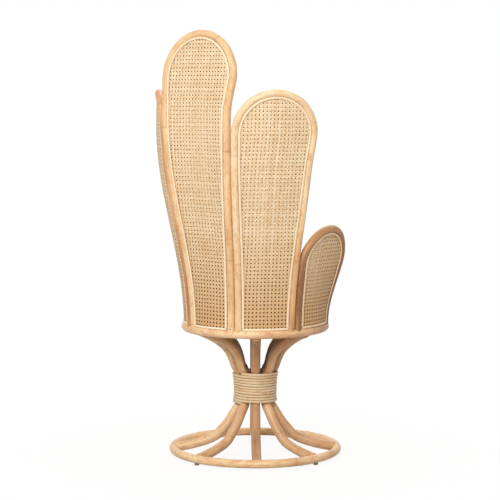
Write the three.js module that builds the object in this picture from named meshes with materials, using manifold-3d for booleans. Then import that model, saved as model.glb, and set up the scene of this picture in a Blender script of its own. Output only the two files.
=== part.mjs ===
// A rattan peacock armchair on an hourglass pedestal.
// Five cane petals stand side by side on a round seat rail and flare outward like a tulip:
// a tall one at the back, a middle one on each side of it and a low one as each arm.
// Eight bent poles, drawn in at the waist by a wound strand, carry the rail on a floor ring.
// Millimetres, +Z up. The back faces +Y and the open front faces -Y.
import * as THREE from 'three';
import Module from 'manifold-3d';

// Clearance left wherever one piece seats on another.
const CLEARANCE = 0.3;

// Floor ring and its glides.
const RING_RADIUS = 280;
const RING_TUBE = 14;
const GLIDE_HEIGHT = 6;
const GLIDE_RADIUS = 8;
const GLIDE_SADDLE = 2;
const GLIDE_UNDER_POLES = [1, 3, 4, 5, 6, 7];

// Seat rail, the round pole that every petal stands on.
const RAIL_RADIUS = 237.5;
const RAIL_TUBE = 14;
const RAIL_HEIGHT = 442;

// Seat: a hoop let into the pole ends, a cane disc on it and a trim ring over the edge. The disc's
// square openings are four of the weave's repeats apart, each with the area of a round hole.
const HOOP_TUBE = 10;
const SEAT_SHEET = 2;
const SEAT_OVERHANG = 2.5;
const SEAT_HOLE_RADIUS = 14.3;
const SEAT_HOLE_STEP = 50.8;
const SEAT_HOLES_EACH_WAY = 4;

// Pedestal poles: the waist, and the shares of the run out to the ring below and the rail above.
const PEDESTAL_POLES = 8;
const PEDESTAL_TURN = 4.5;
const PEDESTAL_POLE_RADIUS = 16;
const WAIST_GAP = 3;
const WAIST_HEIGHT = 225;
const BINDING_HEIGHT = 232;
const BINDING_LENGTH = 111.5;
const WAIST_FLARE_BELOW = 3.5;
const WAIST_FLARE_ABOVE = 7;
const LOWER_RUN = [[0.076, 0.18], [0.16, 0.378], [0.261, 0.561], [0.396, 0.757], [0.672, 0.903]];
const UPPER_RUN = [[0.052, 0.064], [0.114, 0.256], [0.197, 0.457], [0.375, 0.667], [0.66, 0.856]];
const END_IN_RING = 8;
const END_LIFT_AT_RING = 1;
const END_IN_RAIL = 5.5;
const END_DROP_AT_RAIL = 5;

// Waist binding: one strand wound round the poles.
const STRAND_RADIUS = 4.3;
const STRAND_TURNS = 11;
const STRAND_SEAT = 1;
const STRAND_STEPS = 24;
const STRAND_SIDES = 6;

// Petals: pole and cane thickness, and the S-shaped flare that carries them outward.
const PETAL_POLE_RADIUS = 12.5;
const PETAL_FLARE = 93;
const PETAL_FLARE_RISE = 694;
const PETAL_TUCK = 25;
const PETAL_TUCK_RISE = 300;
const FOOT_LIP = 10;
const CANE_LIFT = 5;
const CANE_SHEET = 2;
const CANE_TIP = 4;
const TRIM_WIDTH = 8;
const TRIM_FACE = 4.8;
const TRIM_HEIGHT = 3;
const TRIM_SEAT = 0.7;

// The three kinds of petal: sector in degrees at the rail and above the spread, apex above the
// rail's centre, how far the round foot flattens by the apex, widening of the arch, its lean
// towards the front or, on the back, towards +X, and outward splay of the front edge.
const BACK = { sector: [45.7, 52.3], rise: 996, flattening: 1, swell: 14.5, lean: -9, splay: 0 };
const MIDDLE = { sector: [49.3, 49], rise: 804, flattening: 0.15, swell: 5, lean: 6, splay: 0 };
const ARM = { sector: [53.4, 53], rise: 354, flattening: 0.5, swell: 0, lean: 0, splay: 35 };
const SPREAD_RISE = 830;
const SWELL_BELOW_APEX = [274, 114];
const SPLAY_RISE = 250;
const PETALS = [
  { name: 'back', side: 0, inner: [], ...BACK },
  { name: 'left_mid', side: 1, inner: [BACK], ...MIDDLE },
  { name: 'right_mid', side: -1, inner: [BACK], ...MIDDLE },
  { name: 'left_arm', side: 1, inner: [BACK, MIDDLE], ...ARM },
  { name: 'right_arm', side: -1, inner: [BACK, MIDDLE], ...ARM },
];

// Dowels that pin the petal feet into the rail.
const DOWEL_RADIUS = 4;
const DOWEL_IN_RAIL = 24;
const DOWEL_IN_POLE = 22;

// Facets.
const SEGMENTS_PER_POLE = 6;
const RING_SIDES = 8;
const GLIDE_SIDES = 16;
const DOWEL_SIDES = 8;
const PEDESTAL_SIDES = 8;
const PEDESTAL_STEPS = 20;
const PETAL_SIDES = 8;
const LEG_STEPS = 7;
const ARCH_STEPS = 18;
const CANE_COLUMNS = 4;
const SEAT_HOLE_SIDES = 4;

// Sizes that follow from the ones above.
const RING_SEGMENTS = SEGMENTS_PER_POLE * PEDESTAL_POLES;
const POLE_STEP = 360 / PEDESTAL_POLES;
const RING_HEIGHT = GLIDE_HEIGHT + RING_TUBE;
const FOOT_HEIGHT = RAIL_HEIGHT + RAIL_TUBE;
const NEIGHBOUR_GAP = CLEARANCE / 2;
const PETAL_POLE_CORNER = cornerRadius(PETAL_POLE_RADIUS, PETAL_SIDES);
const RAIL_CORNER = cornerRadius(RAIL_TUBE, RING_SIDES);
const HOOP_CORNER = cornerRadius(HOOP_TUBE, RING_SIDES);
const HOOP_FLAT = HOOP_CORNER * Math.cos(Math.PI / RING_SIDES);
const PEDESTAL_POLE_CORNER = cornerRadius(PEDESTAL_POLE_RADIUS, PEDESTAL_SIDES);
const WAIST_RADIUS = (PEDESTAL_POLE_CORNER + WAIST_GAP / 2) / Math.sin(Math.PI / PEDESTAL_POLES);
const HOOP_RADIUS = RAIL_RADIUS - PETAL_POLE_CORNER - HOOP_CORNER - CLEARANCE;
const HOOP_REACH = RAIL_CORNER + HOOP_CORNER + CLEARANCE;
const HOOP_HEIGHT = RAIL_HEIGHT + Math.sqrt(HOOP_REACH ** 2 - (RAIL_RADIUS - HOOP_RADIUS) ** 2);
const SEAT_HEIGHT = HOOP_HEIGHT + HOOP_FLAT + CLEARANCE;
const SEAT_RADIUS = HOOP_RADIUS + SEAT_OVERHANG;
const BINDING_BOTTOM = BINDING_HEIGHT - BINDING_LENGTH / 2;
const BINDING_TOP = BINDING_HEIGHT + BINDING_LENGTH / 2;
const TRIM_LIFT = CANE_LIFT + CANE_SHEET / 2 + TRIM_SEAT;

const COLOURS = {
  pole: 0xd9ab73,
  cane: 0xd6b988,
  trim: 0xefd8b0,
  strand: 0xdcbd8b,
  dowel: 0xc79b62,
  glide: 0x4f443b,
};

const wasm = await Module();
wasm.setup();

const radians = THREE.MathUtils.degToRad;
const UPWARD = new THREE.Vector3(0, 0, 1);

// Point at a distance from the chair's axis, at an angle from the back, counted towards +X.
function polar(radius, degrees, z) {
  const angle = radians(degrees);
  return new THREE.Vector3(radius * Math.sin(angle), radius * Math.cos(angle), z);
}

// Regular polygon of the same area as the round section that it stands for.
function circle(radius, sides) {
  const corner = cornerRadius(radius, sides);
  return Array.from({ length: sides }, (_, i) => {
    const angle = (2 * Math.PI * (i + 0.5)) / sides;
    return [corner * Math.cos(angle), corner * Math.sin(angle)];
  });
}

// Distance of that polygon's corners from its centre.
function cornerRadius(radius, sides) {
  const step = (2 * Math.PI) / sides;
  return radius * Math.sqrt(step / Math.sin(step));
}

// Flat-backed beading that narrows towards its face.
const beading = [
  [-TRIM_WIDTH / 2, 0],
  [TRIM_WIDTH / 2, 0],
  [TRIM_FACE / 2, TRIM_HEIGHT],
  [-TRIM_FACE / 2, TRIM_HEIGHT],
];

// Closed skin through a row of loops with the same, even number of points.
function loft(loops, closed = false) {
  const sides = loops[0].length;
  const index = [];
  const spans = closed ? loops.length : loops.length - 1;
  for (let i = 0; i < spans; i += 1) {
    const near = i * sides;
    const far = ((i + 1) % loops.length) * sides;
    for (let j = 0; j < sides; j += 1) {
      const k = (j + 1) % sides;
      index.push(near + j, near + k, far + k, near + j, far + k, far + j);
    }
  }
  if (!closed) {
    const last = (loops.length - 1) * sides;
    for (let j = 0; j < sides / 2 - 1; j += 1) {
      const across = sides - 1 - j;
      index.push(j, across, across - 1, j, across - 1, j + 1);
      index.push(last + j, last + across - 1, last + across, last + j, last + j + 1, last + across - 1);
    }
  }
  const geometry = new THREE.BufferGeometry();
  geometry.setAttribute('position', new THREE.Float32BufferAttribute(
    loops.flat().flatMap((p) => p.toArray()), 3));
  geometry.setIndex(signedVolume(geometry.attributes.position, index) < 0 ? index.reverse() : index);
  return geometry;
}

// Six times the volume inside a skin; negative when the faces point inward.
function signedVolume(position, index) {
  const [a, b, c] = [new THREE.Vector3(), new THREE.Vector3(), new THREE.Vector3()];
  let sum = 0;
  for (let i = 0; i < index.length; i += 3) {
    a.fromBufferAttribute(position, index[i]);
    b.fromBufferAttribute(position, index[i + 1]);
    c.fromBufferAttribute(position, index[i + 2]);
    sum += a.dot(b.cross(c));
  }
  return sum;
}

// Section carried along a path of { point, up } stations; its second axis follows up.
function sweep(path, section, closed = false) {
  const count = path.length;
  const loops = path.map(({ point, up }, i) => {
    const before = path[closed ? (i + count - 1) % count : Math.max(i - 1, 0)].point;
    const after = path[closed ? (i + 1) % count : Math.min(i + 1, count - 1)].point;
    const ahead = after.clone().sub(before).normalize();
    const side = ahead.clone().cross(up).normalize();
    const rise = side.clone().cross(ahead);
    return section.map(([a, b]) => point.clone().addScaledVector(side, a).addScaledVector(rise, b));
  });
  return loft(loops, closed);
}

// Round hoop about the chair's axis.
function hoop(radius, height, section, segments = RING_SEGMENTS) {
  const path = Array.from({ length: segments }, (_, i) => (
    { point: polar(radius, (360 * i) / segments, height), up: UPWARD }));
  return sweep(path, section, true);
}

// Upright cylinder between two heights, about a centre or the chair's axis.
function upright(radius, sides, bottom, top, { x, y } = { x: 0, y: 0 }) {
  return loft([bottom, top].map((z) => (
    circle(radius, sides).map(([a, b]) => new THREE.Vector3(x + a, y + b, z)))));
}

// Body with its cutters taken away.
function cut(body, cutters) {
  const solid = (geometry) => new wasm.Manifold(new wasm.Mesh({
    numProp: 3,
    vertProperties: new Float32Array(geometry.attributes.position.array),
    triVerts: new Uint32Array(geometry.index.array),
  }));
  const mesh = cutters.reduce((rest, cutter) => rest.subtract(solid(cutter)), solid(body)).getMesh();
  const geometry = new THREE.BufferGeometry();
  geometry.setAttribute('position', new THREE.Float32BufferAttribute(mesh.vertProperties, 3));
  geometry.setIndex(Array.from(mesh.triVerts));
  return geometry;
}

// Mesh of one piece, named and finished.
function piece(name, geometry, colour, roughness = 0.5) {
  geometry.computeVertexNormals();
  const material = new THREE.MeshStandardMaterial({ color: colour, roughness, metalness: 0 });
  const mesh = new THREE.Mesh(geometry, material);
  mesh.name = name;
  return mesh;
}

// Turns a mesh or a group about the chair's axis, from the back towards +X.
function turned(object, degrees) {
  object.rotation.z = -radians(degrees);
  return object;
}

// The rings' tubes, grown by the clearance, cope the ends of the poles that meet them.
const ringCope = hoop(RING_RADIUS, RING_HEIGHT, circle(RING_TUBE + CLEARANCE, RING_SIDES));
const railCope = hoop(RAIL_RADIUS, RAIL_HEIGHT, circle(RAIL_TUBE + CLEARANCE, RING_SIDES));
const hoopCope = hoop(HOOP_RADIUS, HOOP_HEIGHT, circle(HOOP_TUBE + CLEARANCE, RING_SIDES));

// Under the seat the pole ends are trimmed level with the line where hoop and rail meet.
const meetHeight = RAIL_HEIGHT + (RAIL_CORNER * (HOOP_HEIGHT - RAIL_HEIGHT)) / HOOP_REACH;
const seatTrimming = upright(RAIL_RADIUS, RING_SEGMENTS, meetHeight, SEAT_HEIGHT);

// Places of the openings in the seat's cane, a square grid that stays inside the hoop.
function seatHoles() {
  const reach = HOOP_RADIUS - HOOP_CORNER - cornerRadius(SEAT_HOLE_RADIUS, SEAT_HOLE_SIDES);
  const steps = Array.from({ length: 2 * SEAT_HOLES_EACH_WAY + 1 }, (_, i) => i - SEAT_HOLES_EACH_WAY);
  const grid = steps.flatMap((i) => steps.map((j) => new THREE.Vector2(i, j).multiplyScalar(SEAT_HOLE_STEP)));
  return grid.filter((hole) => hole.length() < reach);
}

// Centre line of a pedestal pole in its own upright plane: out from the ring, in at the waist,
// out again in a near-quarter bend to the rail.
const pedestalCurve = (() => {
  const low = new THREE.Vector2(WAIST_RADIUS + WAIST_FLARE_BELOW, BINDING_BOTTOM);
  const high = new THREE.Vector2(WAIST_RADIUS + WAIST_FLARE_ABOVE, BINDING_TOP);
  const ringEnd = new THREE.Vector2(RING_RADIUS - END_IN_RING, RING_HEIGHT + END_LIFT_AT_RING);
  const railEnd = new THREE.Vector2(RAIL_RADIUS - END_IN_RAIL, RAIL_HEIGHT - END_DROP_AT_RAIL);
  const between = (from, to, [across, along]) => new THREE.Vector2(
    THREE.MathUtils.lerp(from.x, to.x, across), THREE.MathUtils.lerp(from.y, to.y, along));
  const points = [
    ringEnd,
    ...LOWER_RUN.map((share) => between(low, ringEnd, share)).reverse(),
    low,
    new THREE.Vector2(WAIST_RADIUS, WAIST_HEIGHT),
    high,
    ...UPPER_RUN.map((share) => between(high, railEnd, share)),
    railEnd,
  ];
  const centreLine = points.map((p) => new THREE.Vector3(p.x, 0, p.y));
  return new THREE.CatmullRomCurve3(centreLine, false, 'centripetal');
})();

// Distance of the pole's centre line from the axis at a height.
function pedestalRadius(z) {
  let [low, high] = [0, 1];
  for (let i = 0; i < 40; i += 1) {
    const middle = (low + high) / 2;
    if (pedestalCurve.getPoint(middle).z < z) low = middle;
    else high = middle;
  }
  return pedestalCurve.getPoint(low).x;
}

// The first pedestal pole; the others are the same piece, turned about the axis.
function pedestalPole() {
  const up = polar(1, PEDESTAL_TURN + 90, 0);
  const path = pedestalCurve.getPoints(PEDESTAL_STEPS).map((p) => (
    { point: polar(p.x, PEDESTAL_TURN, p.z), up }));
  const pole = sweep(path, circle(PEDESTAL_POLE_RADIUS, PEDESTAL_SIDES));
  return cut(pole, [ringCope, railCope, hoopCope, seatTrimming]);
}

// The glide under the first pole's foot, its top hollowed to the ring.
function glide() {
  const foot = polar(RING_RADIUS, PEDESTAL_TURN, 0);
  const pad = upright(GLIDE_RADIUS, GLIDE_SIDES, 0, GLIDE_HEIGHT + GLIDE_SADDLE, foot);
  return cut(pad, [ringCope]);
}

// One strand wound up the waist, following its slight hourglass; both ends run out straight.
function binding() {
  const bottom = BINDING_BOTTOM + STRAND_RADIUS;
  const climb = (BINDING_LENGTH - 2 * STRAND_RADIUS) / STRAND_TURNS;
  const reach = PEDESTAL_POLE_CORNER + STRAND_SEAT + cornerRadius(STRAND_RADIUS, STRAND_SIDES);
  const poleOutside = (z) => Math.max(...[-1, 0, 1].map((side) => pedestalRadius(z + side * STRAND_RADIUS)));
  const path = Array.from({ length: STRAND_TURNS * STRAND_STEPS + 1 }, (_, i) => {
    const turns = i / STRAND_STEPS;
    const z = bottom + climb * turns;
    return { point: polar(poleOutside(z) + reach, 360 * turns, z), up: polar(1, 360 * turns, 0) };
  });
  const runOut = (end, inner) => ({
    point: end.point.clone().add(end.point.clone().sub(inner.point).setLength(2 * STRAND_RADIUS)),
    up: end.up,
  });
  path.unshift(runOut(path[0], path[1]));
  path.push(runOut(path.at(-1), path.at(-2)));
  let gap = Infinity;
  path.forEach((a, i) => path.slice(i + STRAND_STEPS / 2).forEach((b) => {
    gap = Math.min(gap, a.point.distanceTo(b.point) - 2 * STRAND_RADIUS);
  }));
  console.log(`waist binding: least gap between turns ${gap.toFixed(2)} mm`);
  return sweep(path, circle(STRAND_RADIUS, STRAND_SIDES));
}

// Hole for the dowel that pins a petal's foot to the rail.
function dowelHole(foot) {
  const [bottom, top] = [FOOT_HEIGHT - DOWEL_IN_RAIL, FOOT_HEIGHT + DOWEL_IN_POLE];
  return upright(DOWEL_RADIUS + CLEARANCE, DOWEL_SIDES, bottom - CLEARANCE, top + CLEARANCE, foot);
}

// Rise from 0 to 1 that starts and ends level.
function ease(share) {
  return (1 - Math.cos(Math.PI * THREE.MathUtils.clamp(share, 0, 1))) / 2;
}

// Distance of the petal poles from the axis at a height: upright at the rail, leaning outward,
// upright again and tucked in a little at the top.
function flare(z) {
  const above = z - FOOT_HEIGHT;
  const tuck = Math.max(above - PETAL_FLARE_RISE, 0) / PETAL_TUCK_RISE;
  return RAIL_RADIUS + PETAL_FLARE * ease(above / PETAL_FLARE_RISE) - PETAL_TUCK * tuck ** 2;
}

// Sector that a kind of petal takes up at a height, in degrees.
function sectorAt(kind, z) {
  const share = THREE.MathUtils.clamp((z - FOOT_HEIGHT) / SPREAD_RISE, 0, 1);
  return THREE.MathUtils.lerp(...kind.sector, share);
}

// Angle of a petal's middle at a height, past the petals between it and the back's middle.
function turnAt(petal, z) {
  const passed = petal.inner.reduce((sum, kind) => sum + sectorAt(kind, z), 0);
  return petal.side * (passed + (sectorAt(petal, z) - sectorAt(BACK, z)) / 2);
}

// Half angle at which a leg stands, so that neighbours' poles lie side by side.
function legAngle(petal, z) {
  return radians(sectorAt(petal, z) / 2) - Math.asin((PETAL_POLE_RADIUS + NEIGHBOUR_GAP) / flare(z));
}

// Share of a petal's swell and lean at a height; both come in clear of its neighbours.
function freedom(petal, z) {
  const [start, end] = SWELL_BELOW_APEX.map((below) => RAIL_HEIGHT + petal.rise - below);
  return ease((z - start) / (end - start));
}

// Half width of a petal between its poles' centres.
function legOffset(petal, z) {
  return flare(z) * Math.sin(legAngle(petal, z)) + petal.swell * freedom(petal, z);
}

// A petal's surface, facing the back before it is turned to its place: round like the rail at its
// foot, flatter towards the arch, and on an arm splayed outward along the front edge.
function petalPoint(petal, across, z) {
  const radius = flare(z);
  const chord = radius * Math.cos(legAngle(petal, z));
  const climb = THREE.MathUtils.clamp((z - FOOT_HEIGHT) / (RAIL_HEIGHT + petal.rise - FOOT_HEIGHT), 0, 1);
  const bulge = 1 - petal.flattening * climb;
  const towardsFront = (1 + (petal.side * across) / legOffset(petal, z)) / 2;
  const splay = petal.splay * ease((z - FOOT_HEIGHT) / SPLAY_RISE) * towardsFront;
  const out = chord + bulge * (Math.sqrt(radius ** 2 - across ** 2) - chord) + splay;
  const lean = petal.lean * (petal.side || 1) * freedom(petal, z);
  const shift = radians(turnAt(petal, FOOT_HEIGHT) - turnAt(petal, z));
  return new THREE.Vector3(across + lean, out, z).applyAxisAngle(UPWARD, shift);
}

// Station on the petal's surface, lifted outward along its normal.
function petalStation(petal, across, z, lift = 0) {
  const step = 0.5;
  const along = petalPoint(petal, across + step, z).sub(petalPoint(petal, across - step, z));
  const climb = petalPoint(petal, across, z + step).sub(petalPoint(petal, across, z - step));
  const up = climb.cross(along).normalize();
  return { point: petalPoint(petal, across, z).addScaledVector(up, lift), up };
}

// Half outline of a petal from its foot to its apex as [across, height]; inset from the pole's centre.
function halfOutline(petal, bottom, inset) {
  const apex = RAIL_HEIGHT + petal.rise - PETAL_POLE_RADIUS;
  let spring = apex;
  for (let i = 0; i < 30; i += 1) spring = apex - legOffset(petal, spring);
  const radius = legOffset(petal, spring) - inset;
  const leg = Array.from({ length: LEG_STEPS }, (_, i) => {
    const z = THREE.MathUtils.lerp(bottom, spring, i / LEG_STEPS);
    return [legOffset(petal, z) - inset, z];
  });
  const arch = Array.from({ length: ARCH_STEPS / 2 + 1 }, (_, i) => {
    const angle = (Math.PI * i) / ARCH_STEPS;
    return [radius * Math.cos(angle), spring + radius * Math.sin(angle)];
  });
  return [...leg, ...arch];
}

// Whole outline of a petal: up one leg, over the arch and down the other.
function outline(petal, bottom, inset) {
  const half = halfOutline(petal, bottom, inset);
  return [...half, ...half.slice(0, -1).reverse().map(([across, z]) => [-across, z])];
}

// Where the two legs of a petal stand on the rail.
function petalFeet(petal) {
  return [-1, 1].map((side) => petalPoint(petal, side * legOffset(petal, FOOT_HEIGHT), FOOT_HEIGHT));
}

// The bent pole of a petal, coped over the rail and bored for its dowels.
function petalFrame(petal) {
  const path = outline(petal, RAIL_HEIGHT + FOOT_LIP, 0).map(([across, z]) => {
    const point = petalPoint(petal, across, z);
    return { point, up: new THREE.Vector3(point.x, point.y, 0).normalize() };
  });
  const rail = railCope.clone().rotateZ(radians(turnAt(petal, FOOT_HEIGHT)));
  return cut(sweep(path, circle(PETAL_POLE_RADIUS, PETAL_SIDES)), [rail, ...petalFeet(petal).map(dowelHole)]);
}

// Beading over the edge of the cane, along both legs and the arch.
function petalTrim(petal) {
  const bottom = railClear(TRIM_LIFT) + TRIM_WIDTH + CLEARANCE;
  const inset = insetClear(TRIM_LIFT) + TRIM_WIDTH / 2;
  const path = outline(petal, bottom, inset).map(([across, z]) => petalStation(petal, across, z, TRIM_LIFT));
  return sweep(path, beading);
}

// Nearest inset at which a piece lifted off the petal's surface clears the pole.
function insetClear(lift) {
  return Math.sqrt((PETAL_POLE_CORNER + CLEARANCE) ** 2 - lift ** 2);
}

// Lowest height at which a piece lifted off the petal's surface clears the rail.
function railClear(lift) {
  return RAIL_HEIGHT + Math.sqrt((RAIL_CORNER + CLEARANCE) ** 2 - lift ** 2);
}

// Cane panel on one side of the bent pole: side is 1 for the outer face and -1 for the inner.
function petalCane(petal, side) {
  const near = side * (CANE_LIFT - CANE_SHEET / 2);
  const far = side * (CANE_LIFT + CANE_SHEET / 2);
  const rows = halfOutline(petal, railClear(near), insetClear(near));
  const loops = rows.map(([across, z]) => {
    const half = Math.max(across, CANE_TIP / 2);
    const columns = Array.from({ length: CANE_COLUMNS + 1 }, (_, i) => half * ((2 * i) / CANE_COLUMNS - 1));
    const face = columns.map((a) => petalStation(petal, a, z, far).point);
    const back = columns.map((a) => petalStation(petal, a, z, near).point);
    return [...face, ...back.reverse()];
  });
  return loft(loops);
}

// Beading along the foot of the cane, lying on the shoulder of the rail.
function petalSill(petal) {
  const z = railClear(TRIM_LIFT) + TRIM_WIDTH / 2;
  const half = legOffset(petal, z) - insetClear(TRIM_LIFT);
  const path = Array.from({ length: CANE_COLUMNS + 1 }, (_, i) => (
    petalStation(petal, half * ((2 * i) / CANE_COLUMNS - 1), z, TRIM_LIFT)));
  return sweep(path, beading);
}

// Pedestal: floor ring on glides, eight poles and the binding round their waist.
const pedestal = new THREE.Group();
const floorRing = hoop(RING_RADIUS, RING_HEIGHT, circle(RING_TUBE, RING_SIDES));
pedestal.add(piece('floor_ring', floorRing, COLOURS.pole));
const glidePad = glide();
GLIDE_UNDER_POLES.forEach((pole, i) => {
  pedestal.add(turned(piece(`glide_${i + 1}`, glidePad, COLOURS.glide, 0.8), POLE_STEP * (pole - 1)));
});
const pole = pedestalPole();
for (let i = 0; i < PEDESTAL_POLES; i += 1) {
  pedestal.add(turned(piece(`pedestal_pole_${i + 1}`, pole, COLOURS.pole), POLE_STEP * i));
}
pedestal.add(piece('waist_binding', binding(), COLOURS.strand, 0.55));

// Seat: the rail bored for the petals' dowels, and inside it the hoop with its cane and trim.
const seat = new THREE.Group();
const boredRail = cut(
  hoop(RAIL_RADIUS, RAIL_HEIGHT, circle(RAIL_TUBE, RING_SIDES)),
  PETALS.flatMap((petal) => petalFeet(petal).map((foot) => (
    dowelHole(foot).rotateZ(-radians(turnAt(petal, FOOT_HEIGHT)))
  ))),
);
const caneDisc = cut(
  upright(SEAT_RADIUS, RING_SEGMENTS, SEAT_HEIGHT, SEAT_HEIGHT + SEAT_SHEET),
  seatHoles().map((hole) => upright(
    SEAT_HOLE_RADIUS, SEAT_HOLE_SIDES, SEAT_HEIGHT - SEAT_SHEET, SEAT_HEIGHT + 2 * SEAT_SHEET, hole)),
);
const trimRing = hoop(SEAT_RADIUS - TRIM_WIDTH / 2, SEAT_HEIGHT + SEAT_SHEET + CLEARANCE, beading);
seat.add(
  piece('seat_rail', boredRail, COLOURS.pole),
  piece('seat_hoop', hoop(HOOP_RADIUS, HOOP_HEIGHT, circle(HOOP_TUBE, RING_SIDES)), COLOURS.pole),
  piece('seat_cane', caneDisc, COLOURS.cane, 0.65),
  piece('seat_trim', trimRing, COLOURS.trim),
);

// Petals, each a group turned to its place: bent pole, cane on both faces, beading, sill and foot dowels.
const dowel = upright(DOWEL_RADIUS, DOWEL_SIDES, -DOWEL_IN_RAIL, DOWEL_IN_POLE);
const petals = PETALS.map((petal, i) => {
  const group = turned(new THREE.Group(), turnAt(petal, FOOT_HEIGHT));
  group.add(
    piece(`petal_${petal.name}_frame`, petalFrame(petal), COLOURS.pole),
    piece(`petal_${petal.name}_cane`, petalCane(petal, 1), COLOURS.cane, 0.65),
    piece(`petal_${petal.name}_inner_cane`, petalCane(petal, -1), COLOURS.cane, 0.65),
    piece(`petal_${petal.name}_trim`, petalTrim(petal), COLOURS.trim),
    piece(`petal_${petal.name}_sill`, petalSill(petal), COLOURS.trim),
  );
  petalFeet(petal).forEach((foot, side) => {
    const pin = piece(`foot_dowel_${2 * i + side + 1}`, dowel, COLOURS.dowel, 0.7);
    pin.position.copy(foot);
    group.add(pin);
  });
  return group;
});

// The origin is on the floor under the middle of the chair's outline.
const body = new THREE.Group().add(pedestal, seat, ...petals);
const extent = new THREE.Box3().setFromObject(body, true);
const middle = extent.getCenter(new THREE.Vector3());
body.position.set(-middle.x, -middle.y, -extent.min.z);

export default new THREE.Group().add(body);
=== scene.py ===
"""A rattan peacock chair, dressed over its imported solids.

Five caned petals stand on a round seat rail, on an hourglass pedestal of eight bent poles.
Shapes are worked out in millimetres from the chair's axis and placed in metres. Bearings run from
the back towards the sitter's left.
"""

from __future__ import annotations

import logging
import math
import zlib
from dataclasses import dataclass, field, replace
from enum import Enum
from functools import cached_property
from typing import Any, Callable

import bpy
import numpy as np
from bpy.types import Material, Node, NodeSocket, NodeTree
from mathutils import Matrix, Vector


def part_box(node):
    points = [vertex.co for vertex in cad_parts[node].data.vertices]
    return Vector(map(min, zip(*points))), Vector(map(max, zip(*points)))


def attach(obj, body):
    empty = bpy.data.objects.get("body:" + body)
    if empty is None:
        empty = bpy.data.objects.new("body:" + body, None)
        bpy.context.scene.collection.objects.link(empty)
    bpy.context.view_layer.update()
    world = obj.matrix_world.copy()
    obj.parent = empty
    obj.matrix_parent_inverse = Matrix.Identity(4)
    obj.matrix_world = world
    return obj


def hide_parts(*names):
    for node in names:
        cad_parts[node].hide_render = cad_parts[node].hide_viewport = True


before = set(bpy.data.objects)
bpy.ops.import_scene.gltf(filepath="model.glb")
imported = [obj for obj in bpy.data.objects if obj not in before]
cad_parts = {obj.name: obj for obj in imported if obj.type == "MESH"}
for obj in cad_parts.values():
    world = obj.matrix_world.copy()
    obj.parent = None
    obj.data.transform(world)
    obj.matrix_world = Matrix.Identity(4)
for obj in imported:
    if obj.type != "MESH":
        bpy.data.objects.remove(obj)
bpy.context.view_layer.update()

Array = np.ndarray
Pair = tuple[float, float]
LOG = logging.getLogger("peacock_chair")
MM = 0.001
UPWARD = np.array([0.0, 0.0, 1.0])

# Bearing of the side that is painted darker, as shade, on the sitter's right.
SHADED_SIDE_BEARING = math.radians(-115.0)
# Heights under the floor, for poles that get no browning from handling and no painted shade low
# down.
UNBROWNED = (-2.0, -1.0)
# Length of vine that the grain of a piece starts somewhere along.
VINE = 5000.0
# How much longer than what lies in it a map's column or sheet is.
MAP_SPARE = 1.02
# Places of the rings of points at a growth joint.
JOINT_RINGS = np.array([-9, -5, -2.4, -1.1, 0, 1.1, 2.4, 5, 9])
# Share of a hole by which a petal's canes lie apart where each closes the other's holes.
CLOSED = 0.5
# Profiles as distances from the axis and along it: a nail's head in shares of its radius, a glide.
NAIL_HEAD = ((0, 1.1), (0.6, 0.95), (0.95, 0.5), (1, 0), (0.7, -0.8), (0, -0.8))
GLIDE = ((0, 0), (6.6, 0), (7.6, 0.5), (8, 1.4), (7.7, 5), (7.9, 6), (7.9, 9), (0, 9))
# Where a pedestal pole ends, out and up from the centre lines of floor ring and seat rail.
FOOT_LET_IN, HEAD_LET_IN = (-8, 1), (-5.5, -5)
# Sockets of a colour mix: its share, the colour below, the colour above and the result.
SHARE, BELOW, ABOVE, MIXED = 0, 6, 7, 2


class Tone(Enum):
    """How deep a vine's colour is, from the palest to the deepest."""

    PALE = 0.04
    HONEY = 0.24
    GOLD = 0.29
    AMBER = 0.49
    COPPER = 0.58
    RUSSET = 0.67


class Face(Enum):
    """Which face of a petal a piece lies on."""

    OUTER = 1
    INNER = -1


def linear(colour: str) -> tuple[float, ...]:
    """Turns an sRGB hex colour into linear light.

    Args:
        colour: A colour such as "#e8c08a".

    Returns:
        Linear red, green and blue, and an alpha of one.
    """
    parts = (int(colour[i : i + 2], 16) / 255 for i in (1, 3, 5))
    return *(p / 12.92 if p <= 0.04045 else ((p + 0.055) / 1.055) ** 2.4 for p in parts), 1.0


def connect(tree: NodeTree, node: Node, inputs: dict[Any, Any]) -> None:
    """Links sockets to a node, or sets its values.

    Args:
        tree: Tree that the node is in.
        node: The node.
        inputs: Sockets to link or values to set, by input name or number.
    """
    for key, value in inputs.items():
        if isinstance(value, NodeSocket):
            tree.links.new(value, node.inputs[key])
        else:
            node.inputs[key].default_value = value


def add(
    tree: NodeTree, kind: str, inputs: dict[Any, Any], out: int | str = 0, **settings: Any
) -> NodeSocket:
    """Adds a node with its settings and links.

    Args:
        tree: Tree that takes the node.
        kind: What follows ShaderNode in Blender's name for the node.
        inputs: Sockets to link or values to set, by input name or number.
        out: The output that is used, by name or number.
        settings: Properties of the node itself.

    Returns:
        That output of the new node.
    """
    made = tree.nodes.new(f"ShaderNode{kind}")
    for key, value in settings.items():
        setattr(made, key, value)
    connect(tree, made, inputs)
    return made.outputs[out]


def looked_at(tree: NodeTree) -> NodeSocket:
    """Tells where the eye, a reflection or clear glass looks from other light.

    Args:
        tree: Tree that takes the nodes.

    Returns:
        A socket that is one for those looks, and zero for other light.
    """
    rays = add(tree, "LightPath", {}).node.outputs
    seen = rays["Is Camera Ray"]
    for kind in ("Is Glossy Ray", "Is Transmission Ray"):
        seen = add(tree, "Math", {0: seen, 1: rays[kind]}, operation="MAXIMUM")
    return seen


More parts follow.
